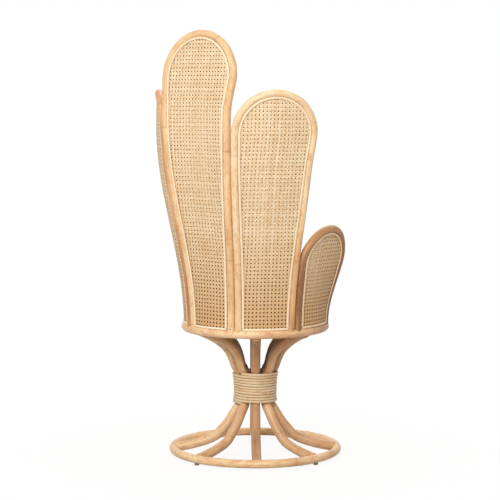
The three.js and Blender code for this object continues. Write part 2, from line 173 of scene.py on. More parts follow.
@dataclass(frozen=True)
class Finish:
    """A finish that becomes one material, named for what the real one is."""

    name: str
    roughness: float

    def blank(self) -> tuple[Material, NodeTree, Node]:
        """Starts the material.

        Returns:
            The material, its node tree and its surface shader.
        """
        material = bpy.data.materials.new(self.name)
        material.use_nodes = True
        tree = material.node_tree
        shader = tree.nodes["Principled BSDF"]
        shader.inputs["Roughness"].default_value = self.roughness
        return material, tree, shader


@dataclass(frozen=True)
class VineFinish(Finish):
    """A finish of rattan, whose marks run along the vine."""

    def marks(self, tree: NodeTree, size: Pair, shift: Pair = (0, 0), **noise: float) -> NodeSocket:
        """Draws marks that are stretched along the vine.

        Args:
            tree: Tree that takes the nodes.
            size: Length and width of a mark, in millimetres.
            shift: Where along and across the vine the marks start.
            noise: Values of the noise that they come from.

        Returns:
            Strength of the marks.
        """
        grain = add(tree, "Attribute", {}, "Vector", attribute_name="grain")
        long, wide = (1 / (side * MM) for side in size)
        laid = {"Vector": grain, "Location": (*shift, 0), "Scale": (long, wide, wide)}
        place = add(tree, "Mapping", laid)
        return add(tree, "TexNoise", {"Vector": place, "Scale": 1.0, **noise})

    def worked(self, tree: NodeTree, marks: NodeSocket) -> NodeSocket:
        """Roughness that follows marks, from a little smoother to a little rougher."""
        low, high = self.roughness - 0.08, self.roughness + 0.1
        return add(tree, "MapRange", {"Value": marks, "To Min": low, "To Max": high})


@dataclass(frozen=True)
class PeeledRattan(VineFinish):
    """Whole rattan pole, peeled, bent over steam and given a satin lacquer.

    The eye sees a honey body with lengthwise streaks, soft orange patches where the skin was
    scraped less, small reddish blotches and a thin dark ring at each growth joint. Shade is
    painted dark inside the waist and between the turns of a wound strand.
    """

    tones: tuple[str, ...] = ("#f7e1bc", "#efcc9c", "#deb07f", "#b98859", "#90613c")
    blotch: str = "#cf8f60"
    joint: str = "#93602f"
    # Colour of the painted shade inside the waist and between a strand's turns.
    hollow: str = "#3a2616"
    # Length and width of marks in millimetres. Real fibres are about half a millimetre wide, too
    # fine to show, so the streaks are drawn coarser.
    streak_size: Pair = (96.0, 3.2)
    patch_size: Pair = (120.0, 24.0)
    blotch_size: Pair = (32.0, 16.0)
    # How far streaks and patches change the depth of colour, and how far blotches cover it.
    streak_depth: float = 0.22
    patch_depth: float = 0.64
    blotch_share: float = 0.6

    def material(self) -> Material:
        """Builds the material from the straightened pole's coordinates.

        Returns:
            The material.
        """
        material, tree, shader = self.blank()
        carried = ("tint", "joint", "hollow")
        depth, joint, hollow = (
            add(tree, "Attribute", {}, "Fac", attribute_name=name) for name in carried
        )
        streak = self.marks(tree, self.streak_size, Detail=3.0, Roughness=0.6)
        patch = self.marks(tree, self.patch_size, Detail=2.0, Distortion=0.4)
        spots = self.marks(tree, self.blotch_size, (3.1, 1.7), Detail=3.0, Distortion=0.8)
        for marks, change in ((patch, self.patch_depth), (streak, self.streak_depth)):
            depth = add(tree, "Math", {0: marks, 1: change, 2: depth}, operation="MULTIPLY_ADD")
        middle = (self.patch_depth + self.streak_depth) / 2
        depth = add(tree, "Math", {0: depth, 1: middle}, operation="SUBTRACT")
        colour = add(tree, "ValToRGB", {0: depth})
        stops = colour.node.color_ramp.elements
        for i, tone in enumerate(self.tones):
            stop = stops[i] if i < len(stops) else stops.new(1.0)
            stop.position = i / (len(self.tones) - 1)
            stop.color = linear(tone)
        edge = {"Value": spots, "From Min": 0.48, "From Max": 0.74, "To Max": self.blotch_share}
        blotch = add(tree, "MapRange", edge)
        # The last mix paints shade dark inside the waist and between a strand's turns.
        for share, layer in ((blotch, self.blotch), (joint, self.joint), (hollow, self.hollow)):
            laid = {SHARE: share, BELOW: colour, ABOVE: linear(layer)}
            colour = add(tree, "Mix", laid, MIXED, data_type="RGBA")
        relief = add(tree, "Bump", {"Strength": 0.25, "Distance": 0.4 * MM, "Height": streak})
        satin = self.worked(tree, streak)
        connect(tree, shader, {"Base Color": colour, "Roughness": satin, "Normal": relief})
        return material


@dataclass(frozen=True)
class SplitCane(VineFinish):
    """Split cane: strips of the vine's hard skin, shaved flat, woven or laid as beading.

    The eye sees pale straw that changes a little from strip to strip, with faint lengthwise
    fibres, and browns towards the rail: wear from the hands that carry the chair, and painted
    shade.
    """

    pale: str = "#f6e3c2"
    straw: str = "#e1bf92"
    # Brown of handling wear, and of painted shade low on the petals.
    handled_and_shaded: str = "#d2a873"
    fibre: str = "#c79d68"
    # Length and width of a fibre, in millimetres.
    fibre_size: Pair = (20.0, 0.8)

    def material(self) -> Material:
        """Builds the material from each strip's own coordinates.

        Returns:
            The material.
        """
        material, tree, shader = self.blank()
        carried = ("tint", "worn")
        tint, worn = (add(tree, "Attribute", {}, "Fac", attribute_name=name) for name in carried)
        marks = self.marks(tree, self.fibre_size, Detail=2.0)
        edge = {"Value": marks, "From Min": 0.5, "From Max": 0.85, "To Max": 0.6}
        fibre = add(tree, "MapRange", edge)
        colour = linear(self.straw)
        # Browning towards the rail: handling wear, and painted shade.
        for share, layer in ((tint, self.pale), (worn, self.handled_and_shaded), (fibre, self.fibre)):
            laid = {SHARE: share, BELOW: colour, ABOVE: linear(layer)}
            colour = add(tree, "Mix", laid, MIXED, data_type="RGBA")
        connect(tree, shader, {"Base Color": colour, "Roughness": self.worked(tree, marks)})
        return material


@dataclass(frozen=True)
class Speckled(Finish):
    """Moulded rubber, blued steel or plain turned wood: one body colour with a fine mottle."""

    body: str
    mottle: str
    metallic: float = 0.0
    # Millimetres; real grit is finer, and is drawn coarser so that it shows.
    grit_size: float = 1.2

    def material(self) -> Material:
        """Builds the material from the place on the object.

        Returns:
            The material.
        """
        material, tree, shader = self.blank()
        place = add(tree, "TexCoord", {}, "Object")
        strewn = {"Vector": place, "Scale": 1 / (self.grit_size * MM), "Detail": 3.0}
        grit = add(tree, "TexNoise", strewn)
        share = add(tree, "MapRange", {"Value": grit, "From Min": 0.35, "From Max": 0.65})
        laid = {SHARE: share, BELOW: linear(self.body), ABOVE: linear(self.mottle)}
        colour = add(tree, "Mix", laid, MIXED, data_type="RGBA")
        relief = add(tree, "Bump", {"Strength": 0.2, "Distance": 0.2 * MM, "Height": grit})
        dressed = {"Base Color": colour, "Metallic": self.metallic, "Normal": relief}
        connect(tree, shader, dressed)
        return material


@dataclass(frozen=True)
class StudioPaper(Finish):
    """Matt white paper: to the eye as white as the backdrop, but for the soft shadow it keeps."""

    paper: str = "#f4f4f3"
    fibre: str = "#fbfbfa"
    bounce: str = "#bcb4aa"
    # Millimetres; real fibres are finer, and are drawn coarser so that they show.
    fibre_size: float = 2.5

    def material(self) -> Material:
        """Builds the material from the place on the floor.

        Returns:
            The material.
        """
        material, tree, shader = self.blank()
        place = add(tree, "TexCoord", {}, "Object")
        seen = looked_at(tree)
        strewn = {"Vector": place, "Scale": 1 / (self.fibre_size * MM), "Detail": 2.0}
        fibre = add(tree, "TexNoise", strewn)
        laid = {SHARE: fibre, BELOW: linear(self.paper), ABOVE: linear(self.fibre)}
        tone = add(tree, "Mix", laid, MIXED, data_type="RGBA")
        laid = {SHARE: seen, BELOW: linear(self.bounce), ABOVE: tone}
        connect(tree, shader, {"Base Color": add(tree, "Mix", laid, MIXED, data_type="RGBA")})
        far = add(tree, "VectorMath", {0: place}, "Value", operation="LENGTH")
        reach = {"Value": far, "From Min": 0.35, "From Max": 1.0, "To Min": 0.9, "To Max": 1.0}
        white = add(tree, "MapRange", reach)
        share = add(tree, "Math", {0: seen, 1: white}, operation="MULTIPLY")
        glow = add(tree, "Emission", {"Color": linear("#ffffff"), "Strength": 1.0})
        mixed = add(tree, "MixShader", {0: share, 1: shader.outputs[0], 2: glow})
        connect(tree, tree.nodes["Material Output"], {"Surface": mixed})
        return material


class Dress(Enum):
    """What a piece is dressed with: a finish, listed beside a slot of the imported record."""

    POLE = "rattan_pole", PeeledRattan("lacquered_peeled_rattan", 0.42)
    # The pedestal's poles were scraped less, so that more patches and blotches show.
    BASE_POLE = "rattan_pole", PeeledRattan(
        "lacquered_blotched_rattan",
        0.42,
        tones=("#f7e1bc", "#eecb9d", "#d8af84", "#ae8560", "#8a6444"),
        patch_depth=0.8,
        blotch_share=0.85,
    )
    CANE = "cane_webbing", SplitCane("woven_split_cane", 0.5)
    # The inner cane is smoother, and painted deeper and browner low down: shade seen through
    # the holes of the outer cane.
    INNER_CANE = "cane_webbing", SplitCane(
        "woven_split_cane_rubbed", 0.46, pale="#f5dfb8", straw="#dfb984", handled_and_shaded="#ba8b52"
    )
    # Beading is shaved down to the pale wood under the skin.
    TRIM = "rattan_trim", SplitCane(
        "split_rattan_beading", 0.42, pale="#fbead0", straw="#f5deba", fibre="#e2c08e"
    )
    # The vine's core has no skin and no lacquer, and looks duller than a pole.
    STRAND = "binding_strand", PeeledRattan(
        "peeled_rattan_core_strand",
        0.55,
        tones=("#f0dec2", "#e6ceaa", "#d6b78f", "#bd976e", "#9a744e"),
    )
    GLIDE = "glide", Speckled("moulded_brown_rubber", 0.75, "#75665a", "#8a7a6c")
    NAIL = "dowel", Speckled("blued_steel_nail", 0.4, "#3b2d22", "#4d3b2d", metallic=0.6)
    DOWEL = "dowel", Speckled("turned_beech_dowel", 0.65, "#c79b62", "#d8b07a")

    def __init__(self, slot: str, finish: PeeledRattan | SplitCane | Speckled) -> None:
        """Keeps both by name."""
        self.slot, self.finish = slot, finish


@dataclass
class Shape:
    """Points in millimetres, the faces over them and values that the points carry.

    Attributes:
        points: One row of three for each point.
        faces: Arrays of point numbers, one array for each count of corners.
        maps: For each array of faces, the map place of each corner.
        marks: Named values, one row for each point.
    """

    points: Array
    faces: list[Array]
    maps: list[Array] = field(default_factory=list)
    marks: dict[str, Array] = field(default_factory=dict)


@dataclass(frozen=True)
class Workshop:
    """Puts finished shapes into the scene, on the chair's axis, whose foot is in metres."""

    axis: Pair
    finishes: dict[Dress, Material]

    def place(self, name: str, shape: Shape, dress: Dress, *solids: str) -> None:
        """Makes a piece of a shape and lets it stand for its solids.

        Args:
            name: Name of the piece.
            shape: Its shape, in millimetres from the chair's axis.
            dress: Its finish, listed beside a slot.
            solids: Solids that the piece stands for.
        """
        mesh = bpy.data.meshes.new(name)
        mesh.vertices.add(len(shape.points))
        points = shape.points * MM + np.array([*self.axis, 0.0])
        mesh.vertices.foreach_set("co", points.astype(np.float32).ravel())
        counts = np.concatenate([np.full(len(f), f.shape[1]) for f in shape.faces])
        corners = np.concatenate([f.ravel() for f in shape.faces])
        starts = np.concatenate([[0], np.cumsum(counts)[:-1]])
        mesh.loops.add(len(corners))
        mesh.loops.foreach_set("vertex_index", corners.astype(np.int32))
        mesh.polygons.add(len(counts))
        mesh.polygons.foreach_set("loop_start", starts.astype(np.int32))
        mesh.polygons.foreach_set("use_smooth", np.ones(len(counts), bool))
        if shape.maps:
            layer = mesh.uv_layers.new(name="OFBake")
            places = np.concatenate([m.reshape(-1, 2) for m in shape.maps])
            layer.uv.foreach_set("vector", places.astype(np.float32).ravel())
        for key, values in shape.marks.items():
            wide = values.ndim == 2
            mark = mesh.attributes.new(key, "FLOAT_VECTOR" if wide else "FLOAT", "POINT")
            mark.data.foreach_set("vector" if wide else "value", values.astype(np.float32).ravel())
        mesh.update(calc_edges=True)
        mesh.materials.append(self.finishes[dress])
        made = bpy.data.objects.new(name, mesh)
        bpy.context.scene.collection.objects.link(made)
        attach(made, "root")
        if solids:
            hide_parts(*solids)
        LOG.info("%s: %d faces", name, len(counts))


def seed_of(name: str) -> np.random.Generator:
    """Gives the random numbers that belong to a name."""
    return np.random.default_rng(zlib.crc32(name.encode()))


def unit(vectors: Array) -> Array:
    """Scales vectors to length one."""
    return vectors / np.linalg.norm(vectors, axis=-1, keepdims=True)


def fade(distance: Array, reach: float) -> Array:
    """Falls from one to nearly nothing within twice the reach."""
    return np.exp(-((distance / reach) ** 2))


def ease(share: Array) -> Array:
    """Rise from 0 to 1 that starts and ends level."""
    return (1 - np.cos(np.pi * np.clip(share, 0, 1))) / 2


def lengths(line: Array) -> Array:
    """Distance of each point of a line from its start."""
    return np.concatenate([[0], np.cumsum(np.linalg.norm(np.diff(line, axis=0), axis=1))])


def headings(line: Array, closed: bool) -> Array:
    """Unit directions along a line, whose last point leads back to the first if it is closed."""
    return unit(np.roll(line, -1, 0) - np.roll(line, 1, 0) if closed else np.gradient(line, axis=0))


def about(radius: Array | float, bearing: Array | float, height: Array | float) -> Array:
    """Points at distances, bearings and heights about the chair's axis."""
    x, y = radius * np.sin(bearing), radius * np.cos(bearing)
    return np.stack(np.broadcast_arrays(x, y, height), -1)


def through(knots: Array, steps: int) -> Array:
    """Smooth curve through points, with centripetal spacing.

    Args:
        knots: Points to pass through.
        steps: Points from one knot to the next.

    Returns:
        Close points of the curve.
    """
    ends = np.concatenate([[2 * knots[0] - knots[1]], knots, [2 * knots[-1] - knots[-2]]])
    x = np.linspace(0, 1, steps, endpoint=False)[:, None]
    found = []
    for a, b, c, d in zip(ends, ends[1:], ends[2:], ends[3:]):
        s, t, w = (math.sqrt(np.linalg.norm(q - p)) for p, q in ((a, b), (b, c), (c, d)))
        leave = t * ((b - a) / s - (c - a) / (s + t) + (c - b) / t)
        reach = t * ((c - b) / t - (d - b) / (t + w) + (d - c) / w)
        bend, twist = 3 * (c - b) - 2 * leave - reach, 2 * (b - c) + leave + reach
        found.append(b + x * leave + x**2 * bend + x**3 * twist)
    return np.concatenate(found + [knots[-1:]])


def tube_faces(count: int, sides: int, closed: bool) -> Array:
    """Faces between rings of points.

    Args:
        count: How many rings there are.
        sides: Points in a ring.
        closed: Whether the last ring joins the first.

    Returns:
        Four point numbers for each face, ring by ring.
    """
    near = np.arange(count if closed else count - 1)[:, None] * sides
    far = (near + sides) % (count * sides)
    j = np.arange(sides)[None]
    k = (j + 1) % sides
    return np.stack([near + j, near + k, far + k, far + j], -1).reshape(-1, 4)


def tube_map(along: Array, total: float, girth: float, sides: int, closed: bool) -> Array:
    """Lays a tube's skin out in columns, so that a long pole fills a square map.

    Args:
        along: Distance of each ring from the start.
        total: Whole length.
        girth: Distance round the tube.
        sides: Points in a ring.
        closed: Whether the last ring joins the first.

    Returns:
        A map place for each corner of tube_faces.
    """
    blank, filled, just_below_one = 0.02, 0.96, 0.9999
    columns = max(1, round(math.sqrt(total / girth)))
    column_length = total / columns * MAP_SPARE
    start = along if closed else along[:-1]
    end = np.append(along[1:], total) if closed else along[1:]
    column = np.floor(start / total * columns * just_below_one)
    base = column * total / columns
    low, high = (((y - base) / column_length)[:, None] + np.zeros(sides) for y in (start, end))
    left = (column[:, None] + blank + filled * np.arange(sides) / sides) / columns
    right = left + filled / sides / columns
    corners = [(left, low), (right, low), (right, high), (left, high)]
    return np.stack([np.stack([x, np.minimum(y, 1)], -1) for x, y in corners], 2).reshape(-1, 4, 2)


def tube(
    rings: Array,
    along: Array,
    total: float,
    girth: float,
    section: tuple[Array, Array],
    start: float,
    closed: bool,
    marks: dict[str, Any],
) -> Shape:
    """Joins rings of points to a tube, with flat ends unless it is a hoop.

    Args:
        rings: Points of each ring.
        along: Distance of each ring from the start.
        total: Whole length.
        girth: Distance round the tube.
        section: The two coordinates of an even ring's points.
        start: Where along the vine its grain starts.
        closed: Whether the last ring joins the first.
        marks: Values that the points carry beside their grain.

    Returns:
        The tube's skin.
    """
    count, sides = rings.shape[:2]
    grain = np.stack(np.broadcast_arrays(along[:, None] + start, *section), -1)
    spread = {key: np.broadcast_to(value, (count, sides)).ravel() for key, value in marks.items()}
    faces = [tube_faces(count, sides, closed)]
    maps = [tube_map(along, total, girth, sides, closed)]
    if not closed:
        end = np.arange(sides)
        faces.append(np.stack([end[::-1], (count - 1) * sides + end]))
        maps.append(np.full((2, sides, 2), 0.5 / sides))
    spread["grain"] = grain.reshape(-1, 3) * MM
    return Shape(rings.reshape(-1, 3), faces, maps, spread)


def turned(
    profile: tuple[Pair, ...], sides: int, scale: float, middle: Array, axis: Array
) -> Shape:
    """Turns a profile about an axis.

    Args:
        profile: Distances from the axis and along it.
        sides: Points round it.
        scale: Size that the profile is multiplied by.
        middle: Where the profile's origin lies.
        axis: Direction of the axis.

    Returns:
        The turned skin.
    """
    beside, thinnest = [1.0, 0.3, 0.2], 1e-3
    axis = unit(np.asarray(axis, float))
    first = unit(np.cross(axis, beside))
    second = np.cross(axis, first)
    angle = 2 * np.pi * np.arange(sides) / sides
    around = np.cos(angle)[:, None] * first + np.sin(angle)[:, None] * second
    rings = [middle + scale * (max(r, thinnest) * around + h * axis) for r, h in profile]
    return Shape(np.concatenate(rings), [tube_faces(len(profile), sides, False)[:, ::-1]])


@dataclass(frozen=True)
class Pole:
    """A round rattan pole with its growth joints, along any centre line.

    Attributes:
        name: Seeds the places of its joints.
        radius: Radius of the pole.
        sides: Points round it.
        step: Distance between rings of points.
        joint_spacing: Mean distance between growth joints.
        tone: Depth of its colour.
        hollow: Lowest, fullest and highest height of painted shade on the side that faces the axis.
        worn: Heights between which the browning fades out: handling wear, and painted shade low on
            the legs.
        turn_shade: Painted shade on its upper and lower sides, where turns lie against each other.
        side_shade: How much darker it is painted, as shade, on the side towards the sitter's right.
    """

    name: str
    radius: float
    sides: int = 20
    step: float = 6.0
    joint_spacing: float = 430.0
    tone: Tone = Tone.HONEY
    hollow: tuple[float, ...] = ()
    worn: Pair = UNBROWNED
    turn_shade: float = 0.0
    side_shade: float = 0.0

    def around(self, centre: Array, closed: bool, angle: Array) -> Array:
        """Directions out of the pole that don't twist along it.

        Args:
            centre: Points of the centre line.
            closed: Whether it is a hoop.
            angle: Angles round the pole.

        Returns:
            A unit vector for each point and angle.
        """
        steep = 0.8
        ahead = headings(centre, closed)
        first = np.cross(ahead[0], [1.0, 0, 0] if abs(ahead[0][2]) > steep else UPWARD)
        normals = [unit(first)]
        for heading in ahead[1:]:
            normals.append(unit(normals[-1] - heading * normals[-1].dot(heading)))
        normal = np.array(normals)
        across = np.cross(ahead, normal)
        return np.cos(angle)[:, None] * normal[:, None] + np.sin(angle)[:, None] * across[:, None]

    def darkness(self, points: Array, centre: Array, around: Array) -> Array:
        """Painted shade inside the waist, and on the upper and lower sides of a wound strand.

        Args:
            points: Points of the pole.
            centre: Points of the centre line.
            around: Directions out of the pole.

        Returns:
            A share for each point.
        """
        if not self.hollow:
            steepness = np.abs(around[..., 2])
            return self.turn_shade * np.interp(steepness, (0.65, 0.9), (0, 1))
        inward = -(around * unit(centre * (1, 1, 0))[:, None]).sum(-1)
        wrapped = np.clip(0.35 + 1.3 * inward, 0, 0.92)
        return np.interp(points[..., 2], self.hollow, (0, 1, 0)) * wrapped

    def shape(self, line: Array, closed: bool = False) -> Shape:
        """Sweeps the pole along a line.

        Args:
            line: Close points of its centre line.
            closed: Whether it is a hoop.

        Returns:
            The pole's skin, its ends closed unless it is a hoop.
        """
        rng = seed_of(self.name)
        track = np.concatenate([line, line[:1]]) if closed else line
        distance = lengths(track)
        total = distance[-1]
        count = max(1, round(total / self.joint_spacing))
        stray = rng.uniform(-0.28, 0.28, count)
        joints = (np.arange(count) + 0.5 + stray) * total / count
        even = np.linspace(0, total, round(total / self.step) + 1)
        along = np.unique(np.append(even, joints[:, None] + JOINT_RINGS))
        along = along[(along >= 0) & (along <= total)]
        if closed:
            along = along[:-1]
        near = np.abs(along[:, None] - joints).min(1)
        collar, nick = 0.016 * fade(near, 6), 0.018 * fade(near, 1.2)
        wavers = ((0.008, 61), (0.006, 23))
        waver = sum(part * np.sin(along / run + rng.uniform(0, 6)) for part, run in wavers)
        radius = self.radius * (1 + (collar - nick) + waver)
        centre = np.stack([np.interp(along, distance, track[:, i]) for i in range(3)], -1)
        angle = 2 * np.pi * np.arange(self.sides) / self.sides
        around = self.around(centre, closed, angle)
        points = centre[:, None] + radius[:, None, None] * around
        start = rng.uniform(0, VINE)
        # Browner low down, as handling wear and painted shade.
        worn = np.interp(points[..., 2], self.worn, (1, 0))
        # Painted shade: deeper colour on the side towards the sitter's right.
        bearing = np.arctan2(points[..., 0], points[..., 1]) - SHADED_SIDE_BEARING
        shaded_side = self.side_shade * np.cos(bearing).clip(0) ** 2
        tone = self.tone.value + rng.uniform(-0.05, 0.05)
        ring, stain = fade(near, 1.5), 0.16 * fade(near, 8)
        marks = {
            "joint": np.minimum(ring + stain, 1)[:, None] * rng.uniform(0.15, 0.45),
            "tint": tone + 0.26 * worn + shaded_side * (1 + 0.8 * worn),
            # Painted shade inside the waist and between a strand's turns.
            "hollow": self.darkness(points, centre, around),
        }
        section = self.radius * np.cos(angle), self.radius * np.sin(angle)
        girth = 2 * np.pi * self.radius
        return tube(points, along, total, girth, section, start, closed, marks)


@dataclass(frozen=True)
class Beading:
    """A strip of split rattan, flat below and rounded above, laid over the edge of the cane.

    Attributes:
        width: Width of the strip.
        height: Height of its crown.
        arc: Points over the crown.
    """

    width: float = 8.0
    height: float = 3.4
    arc: int = 11

    def shape(
        self,
        name: str,
        line: Array,
        up: Array,
        closed: bool = False,
        mitre: float = 0.0,
        worn: float = 0.0,
    ) -> Shape:
        """Lays the strip along a line.

        Args:
            name: Seeds its colour.
            line: Points under the middle of the strip.
            up: Direction of its crown at each point.
            closed: Whether it is a hoop.
            mitre: Slope of its cut ends, away from the side that it turns to.
            worn: Share of its browning.

        Returns:
            The strip's skin.
        """
        rng = seed_of(name)
        ahead = headings(line, closed)
        side = unit(np.cross(ahead, up))
        crown = np.cross(side, ahead)
        angle = np.linspace(0, np.pi, self.arc)
        a = self.width / 2 * np.cos(angle)
        # A power below one fills the shoulders of the crown.
        b = self.height * np.sin(angle) ** 0.75
        points = line[:, None] + a[:, None] * side[:, None] + b[:, None] * crown[:, None]
        if mitre:
            points[0] += mitre * a[:, None] * ahead[0]
            points[-1] -= mitre * a[:, None] * ahead[-1]
        along = lengths(line)
        total = along[-1] + (np.linalg.norm(line[0] - line[-1]) if closed else 0)
        start = rng.uniform(0, VINE)
        marks = {"tint": rng.uniform(0.55, 0.9), "worn": worn}
        girth = 2.6 * self.width
        return tube(points, along, total, girth, (a, b), start, closed, marks)


@dataclass(frozen=True)
class CaneWeave:
    """Half-inch chair cane: pairs of uprights and of levels, and one diagonal each way.

    The diagonals cross on the pairs, halfway between the pairs' own crossings, and so cut the
    corners of the squares to the eight-sided holes that the webbing is known by.

    Attributes:
        pitch: Distance between holes, across and up.
        upright: Width of an upright strand, and its distance from the middle of its pair.
        level: Width of a level strand, and its distance from the middle of its pair.
        diagonal: Width of a diagonal strand.
        crown: Height of a strand's rounded face.
        dip: How far the pairs rise and dip past each other.
        diagonal_dip: How far the diagonals do.
        worn: Heights between which the browning fades out: handling wear, and painted shade low
            down.
        slim: Share of their width that strands have below those heights, where they are tightest.
    """

    pitch: Pair = (12.7, 12.7)
    upright: Pair = (4.2, 2.18)
    level: Pair = (4.35, 2.25)
    diagonal: float = 3.4
    crown: float = 0.5
    dip: float = 0.45
    diagonal_dip: float = 0.95
    worn: Pair = (440.0, 790.0)
    slim: float = 0.8

    def breadth(self, v: Array) -> Array:
        """Share of their full width that strands have at a height."""
        return np.interp(v, self.worn, (self.slim, 1))

    def rows(self, low: Array, high: Array) -> list[tuple[Array, Array, Array, float]]:
        """Lays out the strands over a box, before they are cut to the panel.

        Args:
            low: Lowest across and up.
            high: Highest across and up.

        Returns:
            For each strand its places across, up and out of the sheet, and its width.
        """
        wide, tall = self.pitch
        first = np.floor(low / self.pitch).astype(int) - 1
        last = np.ceil(high / self.pitch).astype(int) + 1
        steps = (np.arange(2 * a, 2 * b) / 2 + 0.25 for a, b in zip(first, last))
        u, v = (step * pitch for step, pitch in zip(steps, self.pitch))
        slant = np.arange(2 * first[0], 2 * last[0] + 1) / 2
        found = []
        for side in (-1, 1):
            over = side * self.dip * np.sin(2 * np.pi * v / tall)
            for k in range(first[0], last[0] + 1):
                across = k * wide + side * self.upright[1] * self.breadth(v)
                found.append((across, v, over, self.upright[0]))
            under = -side * self.dip * np.sin(2 * np.pi * u / wide)
            for k in range(first[1], last[1] + 1):
                up = k * tall + side * self.level[1] * self.breadth(k * tall)
                found.append((u, np.full(len(u), up), under, self.level[0]))
            rise = side * self.diagonal_dip * np.cos(2 * np.pi * slant)
            for k in range(first[1] - last[0] - 1, last[1] - first[0] + 2):
                found.append((slant * wide, (side * slant + k + 0.5) * tall, rise, self.diagonal))
        return found

    @staticmethod
    def cut(strand: Array, inside: Array) -> Array | None:
        """Cuts a strand where it crosses the panel's edge.

        Args:
            strand: Its places across, up and out of the sheet.
            inside: Distance of each place inside the edge.

        Returns:
            What lies between the crossings, or nothing if the strand misses the panel.
        """
        held = np.flatnonzero(inside > 0)
        if not len(held):
            return None
        kept = slice(max(held[0] - 1, 0), held[-1] + 2)
        strand, inside, size = strand[:, kept].copy(), inside[kept], len(inside)
        for end, beside, crosses in ((0, 1, held[0] > 0), (-1, -2, held[-1] + 1 < size)):
            if crosses:
                t = inside[beside] / (inside[beside] - inside[end])
                strand[:, end] = strand[:, beside] + t * (strand[:, end] - strand[:, beside])
        return strand

    def swayed(self, u: Array, v: Array) -> tuple[Array, Array]:
        """Places with the straying of whole rows, over lengths that never fall together."""
        far, near = 0.6, 0.12
        aside = far * np.sin(v / 67 + 0.6) + near * np.sin(v / 19 + u / 31)
        return u + aside, v + (far * np.sin(u / 61 + 1.1) + near * np.sin(u / 17 + v / 37))

    def shape(
        self,
        name: str,
        box: tuple[Pair, Pair],
        margin: Callable[[Array, Array], Array],
        surface: Callable[[Array, Array, Array], Array],
        laid: Callable[[Array, Array], tuple[Array, Array]] | None = None,
    ) -> Shape:
        """Weaves a panel.

        Args:
            name: Seeds the strands' colours.
            box: Lowest and highest across and up that the panel reaches.
            margin: Distance inside the panel's edge, negative outside it.
            surface: Point of a place across, up and out of the sheet.
            laid: Where a place of the even pattern is laid on the panel, if not there.

        Returns:
            All strands, cut at the panel's edge.
        """
        rng = seed_of(name)
        low, high = np.array(box)
        slack = 2 * np.array(self.pitch)
        rows = self.rows(low - slack, high + slack)
        even = [np.concatenate([row[i] for row in rows]) for i in (0, 1)]
        every_u, every_v = laid(*even) if laid else even
        within = margin(every_u, every_v)
        side = np.array([[-1], [0], [1]])
        crown = np.array([[-0.6], [0.4], [-0.6]]) * self.crown
        places, tint, grain, faces = [], [], [], []
        start = end = 0
        for _, _, rise, width in rows:
            here = slice(end, end + len(rise))
            end = here.stop
            strand = self.cut(np.array([every_u[here], every_v[here], rise]), within[here])
            if strand is None or np.hypot(*(strand[:2, -1] - strand[:2, 0])) < width:
                continue
            across, up, out = strand
            x, y = unit(strand[:2, -1] - strand[:2, 0])
            half = side * (width / 2 * rng.uniform(0.95, 1.03) * self.breadth(up))
            aside = half + rng.normal(0, 0.08)
            laid_out = np.stack([across - y * aside, up + x * aside, out + crown])
            places.append(laid_out.reshape(3, -1))
            grain.append(np.stack(np.broadcast_arrays(across * x + up * y, half, 0.0), -1))
            tint.append(np.full(half.size, rng.uniform(0.0, 1.1)))
            rails = start + np.arange(half.size).reshape(half.shape)
            near, far = rails[:-1], rails[1:]
            faces.append(np.stack([near[:, :-1], near[:, 1:], far[:, 1:], far[:, :-1]], -1))
            start += half.size
        u, v, out = np.concatenate(places, 1)
        corners = np.concatenate([strips.reshape(-1, 4) for strips in faces])
        spot = ((np.stack([u, v], -1) - low) / ((high - low).max() * MAP_SPARE)).clip(0, 1)
        points = surface(*self.swayed(u, v), out)
        marks = {
            "grain": np.concatenate([strand.reshape(-1, 3) for strand in grain]) * MM,
            "tint": np.concatenate(tint),
            "worn": np.interp(points[:, 2], self.worn, (1, 0)),
        }
        return Shape(points, [corners], [spot[corners]], marks)


@dataclass(frozen=True)
class Rail:
    """The floor ring and the seat rail, by their centre lines and the radius of their poles."""

    ring_radius: float = 280.0
    ring_height: float = 20.0
    rail_radius: float = 237.5
    rail_height: float = 442.0
    tube: float = 14.0

    @property
    def foot_height(self) -> float:
        """Height of the top of the seat rail."""
        return self.rail_height + self.tube

    def circle(self, radius: float, height: float, count: int = 360) -> Array:
        """Close points of a circle about the chair's axis."""
        return about(radius, np.linspace(0, 2 * np.pi, count, endpoint=False), height)

    def build(self, shop: Workshop) -> None:
        """Makes the floor ring and the seat rail.

        Args:
            shop: Where the pieces go.
        """
        ring = self.circle(self.ring_radius, self.ring_height)
        rail = self.circle(self.rail_radius, self.rail_height)
        # The last value of each ring paints its side towards the sitter's right darker, as shade.
        for name, line, tone, side_shade in (
            ("floor_ring", ring, Tone.HONEY, 0.12),
            ("seat_rail", rail, Tone.GOLD, 0.32),
        ):
            shape = Pole(name, self.tube, tone=tone, side_shade=side_shade).shape(line, closed=True)
            shop.place(f"{name}_bent_pole", shape, Dress.BASE_POLE, name)


@dataclass(frozen=True)
class PetalKind:
    """One kind of petal.

    Attributes:
        sector: Angle that it takes at the rail and above it, in degrees.
        rise: Height of its apex above the rail.
        flattening: Share of its roundness that is gone at the apex.
        swell: How far the arch is wider than the legs.
        lean: How far the arch leans away from the back.
        splay: How far its front edge turns outward.
        pitch: Distance between holes across its cane, which was stretched more or less.
        phase: Share of a hole by which the inner cane lies above the outer, low down and high up.
        worn: Heights between which the browning of its pole fades out: handling wear, and painted
            shade.
    """

    sector: Pair
    rise: float
    flattening: float
    swell: float = 0.0
    lean: float = 0.0
    splay: float = 0.0
    pitch: float = 12.7
    phase: Pair = (CLOSED, CLOSED)
    worn: Pair = UNBROWNED


BACK_KIND = PetalKind((45.7, 52.3), 996.0, 1.0, swell=14.5, lean=-9.0, pitch=12.8)
